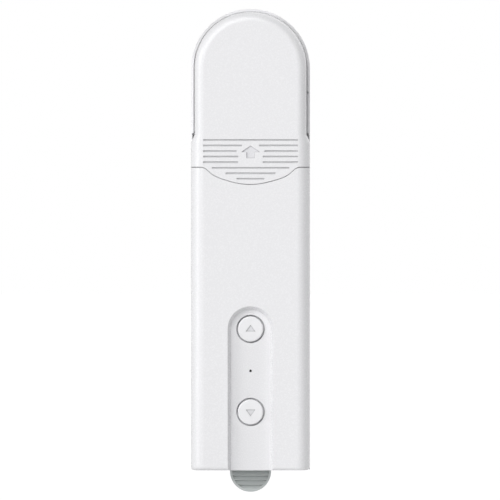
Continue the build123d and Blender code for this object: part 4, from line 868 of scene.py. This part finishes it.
def hang_light(name, strength, turn, rise, spread):
    """A distant light with a wide disc, turned to the right of the camera and raised, in degrees."""
    lamp = bpy.data.lights.new(name, "SUN")
    lamp.energy = strength
    lamp.angle = math.radians(spread)
    side, height = math.radians(turn), math.radians(rise)
    level = math.cos(height)
    towards = Vector((math.sin(side) * level, -math.cos(side) * level, math.sin(height)))
    holder = bpy.data.objects.new(name, lamp)
    holder.rotation_mode = "QUATERNION"
    holder.rotation_quaternion = towards.to_track_quat("Z", "Y")
    bpy.context.scene.collection.objects.link(holder)
    return holder


def seen_directly(tree):
    """One for a ray from the camera, from a gloss or through glass, nought for a ray that lights."""
    path = add_node(tree, "ShaderNodeLightPath").outputs
    glossy = add_node(tree, "ShaderNodeMath", {"operation": "MAXIMUM"}, _0=path["Is Camera Ray"],
                      _1=path["Is Glossy Ray"])
    both = add_node(tree, "ShaderNodeMath", {"operation": "MAXIMUM"}, _0=glossy.outputs[0],
                    _1=path["Is Transmission Ray"])
    return both.outputs[0]


def lay_floor(sizes):
    """A plain pale floor, white to the eye, that still takes the part's shadow."""
    lowest = CAD_BOX[0][2] - sizes.floor_drop
    mesh = bpy.data.meshes.new("studio_floor")
    half = sizes.floor_half
    mesh.from_pydata([(-half, -half, lowest), (half, -half, lowest), (half, half, lowest),
                      (-half, half, lowest)], [], [(0, 1, 2, 3)])
    floor = bpy.data.objects.new("studio_floor", mesh)
    bpy.context.scene.collection.objects.link(floor)
    material = bpy.data.materials.new("painted_floor")
    material.use_nodes = True
    tree = material.node_tree
    tree.nodes.clear()
    paint = add_node(tree, "ShaderNodeBsdfDiffuse", Color=opaque(linear(FLOOR_PAINT)))
    white = add_node(tree, "ShaderNodeEmission", Color=(1, 1, 1, 1), Strength=FLOOR_GLOW)
    share = add_node(tree, "ShaderNodeMath", {"operation": "MULTIPLY"}, _0=seen_directly(tree),
                     _1=FLOOR_GLOW_SHARE)
    mixed = add_node(tree, "ShaderNodeMixShader", _0=share.outputs[0], _1=paint.outputs[0],
                     _2=white.outputs[0])
    add_node(tree, "ShaderNodeOutputMaterial", Surface=mixed.outputs[0])
    mesh.materials.append(material)


def fill_world(scene, brightness):
    """An evenly lit room, and plain white where the room itself is seen."""
    world = bpy.data.worlds.new("white_room")
    world.use_nodes = True
    tree = world.node_tree
    tree.nodes.clear()
    room = add_node(tree, "ShaderNodeBackground", Color=(1, 1, 1, 1), Strength=brightness)
    white = add_node(tree, "ShaderNodeBackground", Color=(1, 1, 1, 1), Strength=1.0)
    mixed = add_node(tree, "ShaderNodeMixShader", _0=seen_directly(tree), _1=room.outputs[0],
                     _2=white.outputs[0])
    add_node(tree, "ShaderNodeOutputWorld", Surface=mixed.outputs[0])
    scene.world = world


class SHADE_PT_panel(bpy.types.Panel):
    """Lists the steps and the settings in the sidebar"""

    bl_idname = "SHADE_PT_panel"
    bl_label = "Shade Motor"
    bl_space_type = "VIEW_3D"
    bl_region_type = "UI"
    bl_category = "Shade Motor"

    def draw(self, context):
        for operator in OPERATORS:
            self.layout.operator(operator.bl_idname)
        for name in SETTINGS:
            box = self.layout.box()
            group = getattr(context.scene, name)
            for key in group.__annotations__:
                box.prop(group, key)


SETTINGS = {
    "shade_casing": CasingColours,
    "shade_mechanism": MechanismColours,
    "shade_surface": SurfaceSizes,
    "shade_studio": StudioSizes,
}
OPERATORS = (
    SHADE_OT_studio, SHADE_OT_casing, SHADE_OT_buttons, SHADE_OT_lever, SHADE_OT_bracket,
    SHADE_OT_gears, SHADE_OT_motor, SHADE_OT_board, SHADE_OT_screws,
)


def register():
    """Register the settings, the operators and the panel."""
    for name, group in SETTINGS.items():
        bpy.utils.register_class(group)
        setattr(bpy.types.Scene, name, bpy.props.PointerProperty(type=group))
    for operator in OPERATORS:
        bpy.utils.register_class(operator)
    bpy.utils.register_class(SHADE_PT_panel)


def unregister():
    """Take everything out again."""
    bpy.utils.unregister_class(SHADE_PT_panel)
    for operator in reversed(OPERATORS):
        bpy.utils.unregister_class(operator)
    for name, group in reversed(SETTINGS.items()):
        delattr(bpy.types.Scene, name)
        bpy.utils.unregister_class(group)


def main():
    """Dress the part step by step."""
    register()
    bpy.ops.shade_motor.studio()
    bpy.ops.shade_motor.casing()
    bpy.ops.shade_motor.buttons()
    bpy.ops.shade_motor.lever()
    bpy.ops.shade_motor.bracket()
    bpy.ops.shade_motor.gears()
    bpy.ops.shade_motor.motor()
    bpy.ops.shade_motor.board()
    bpy.ops.shade_motor.screws()


if __name__ == "__main__":
    main()
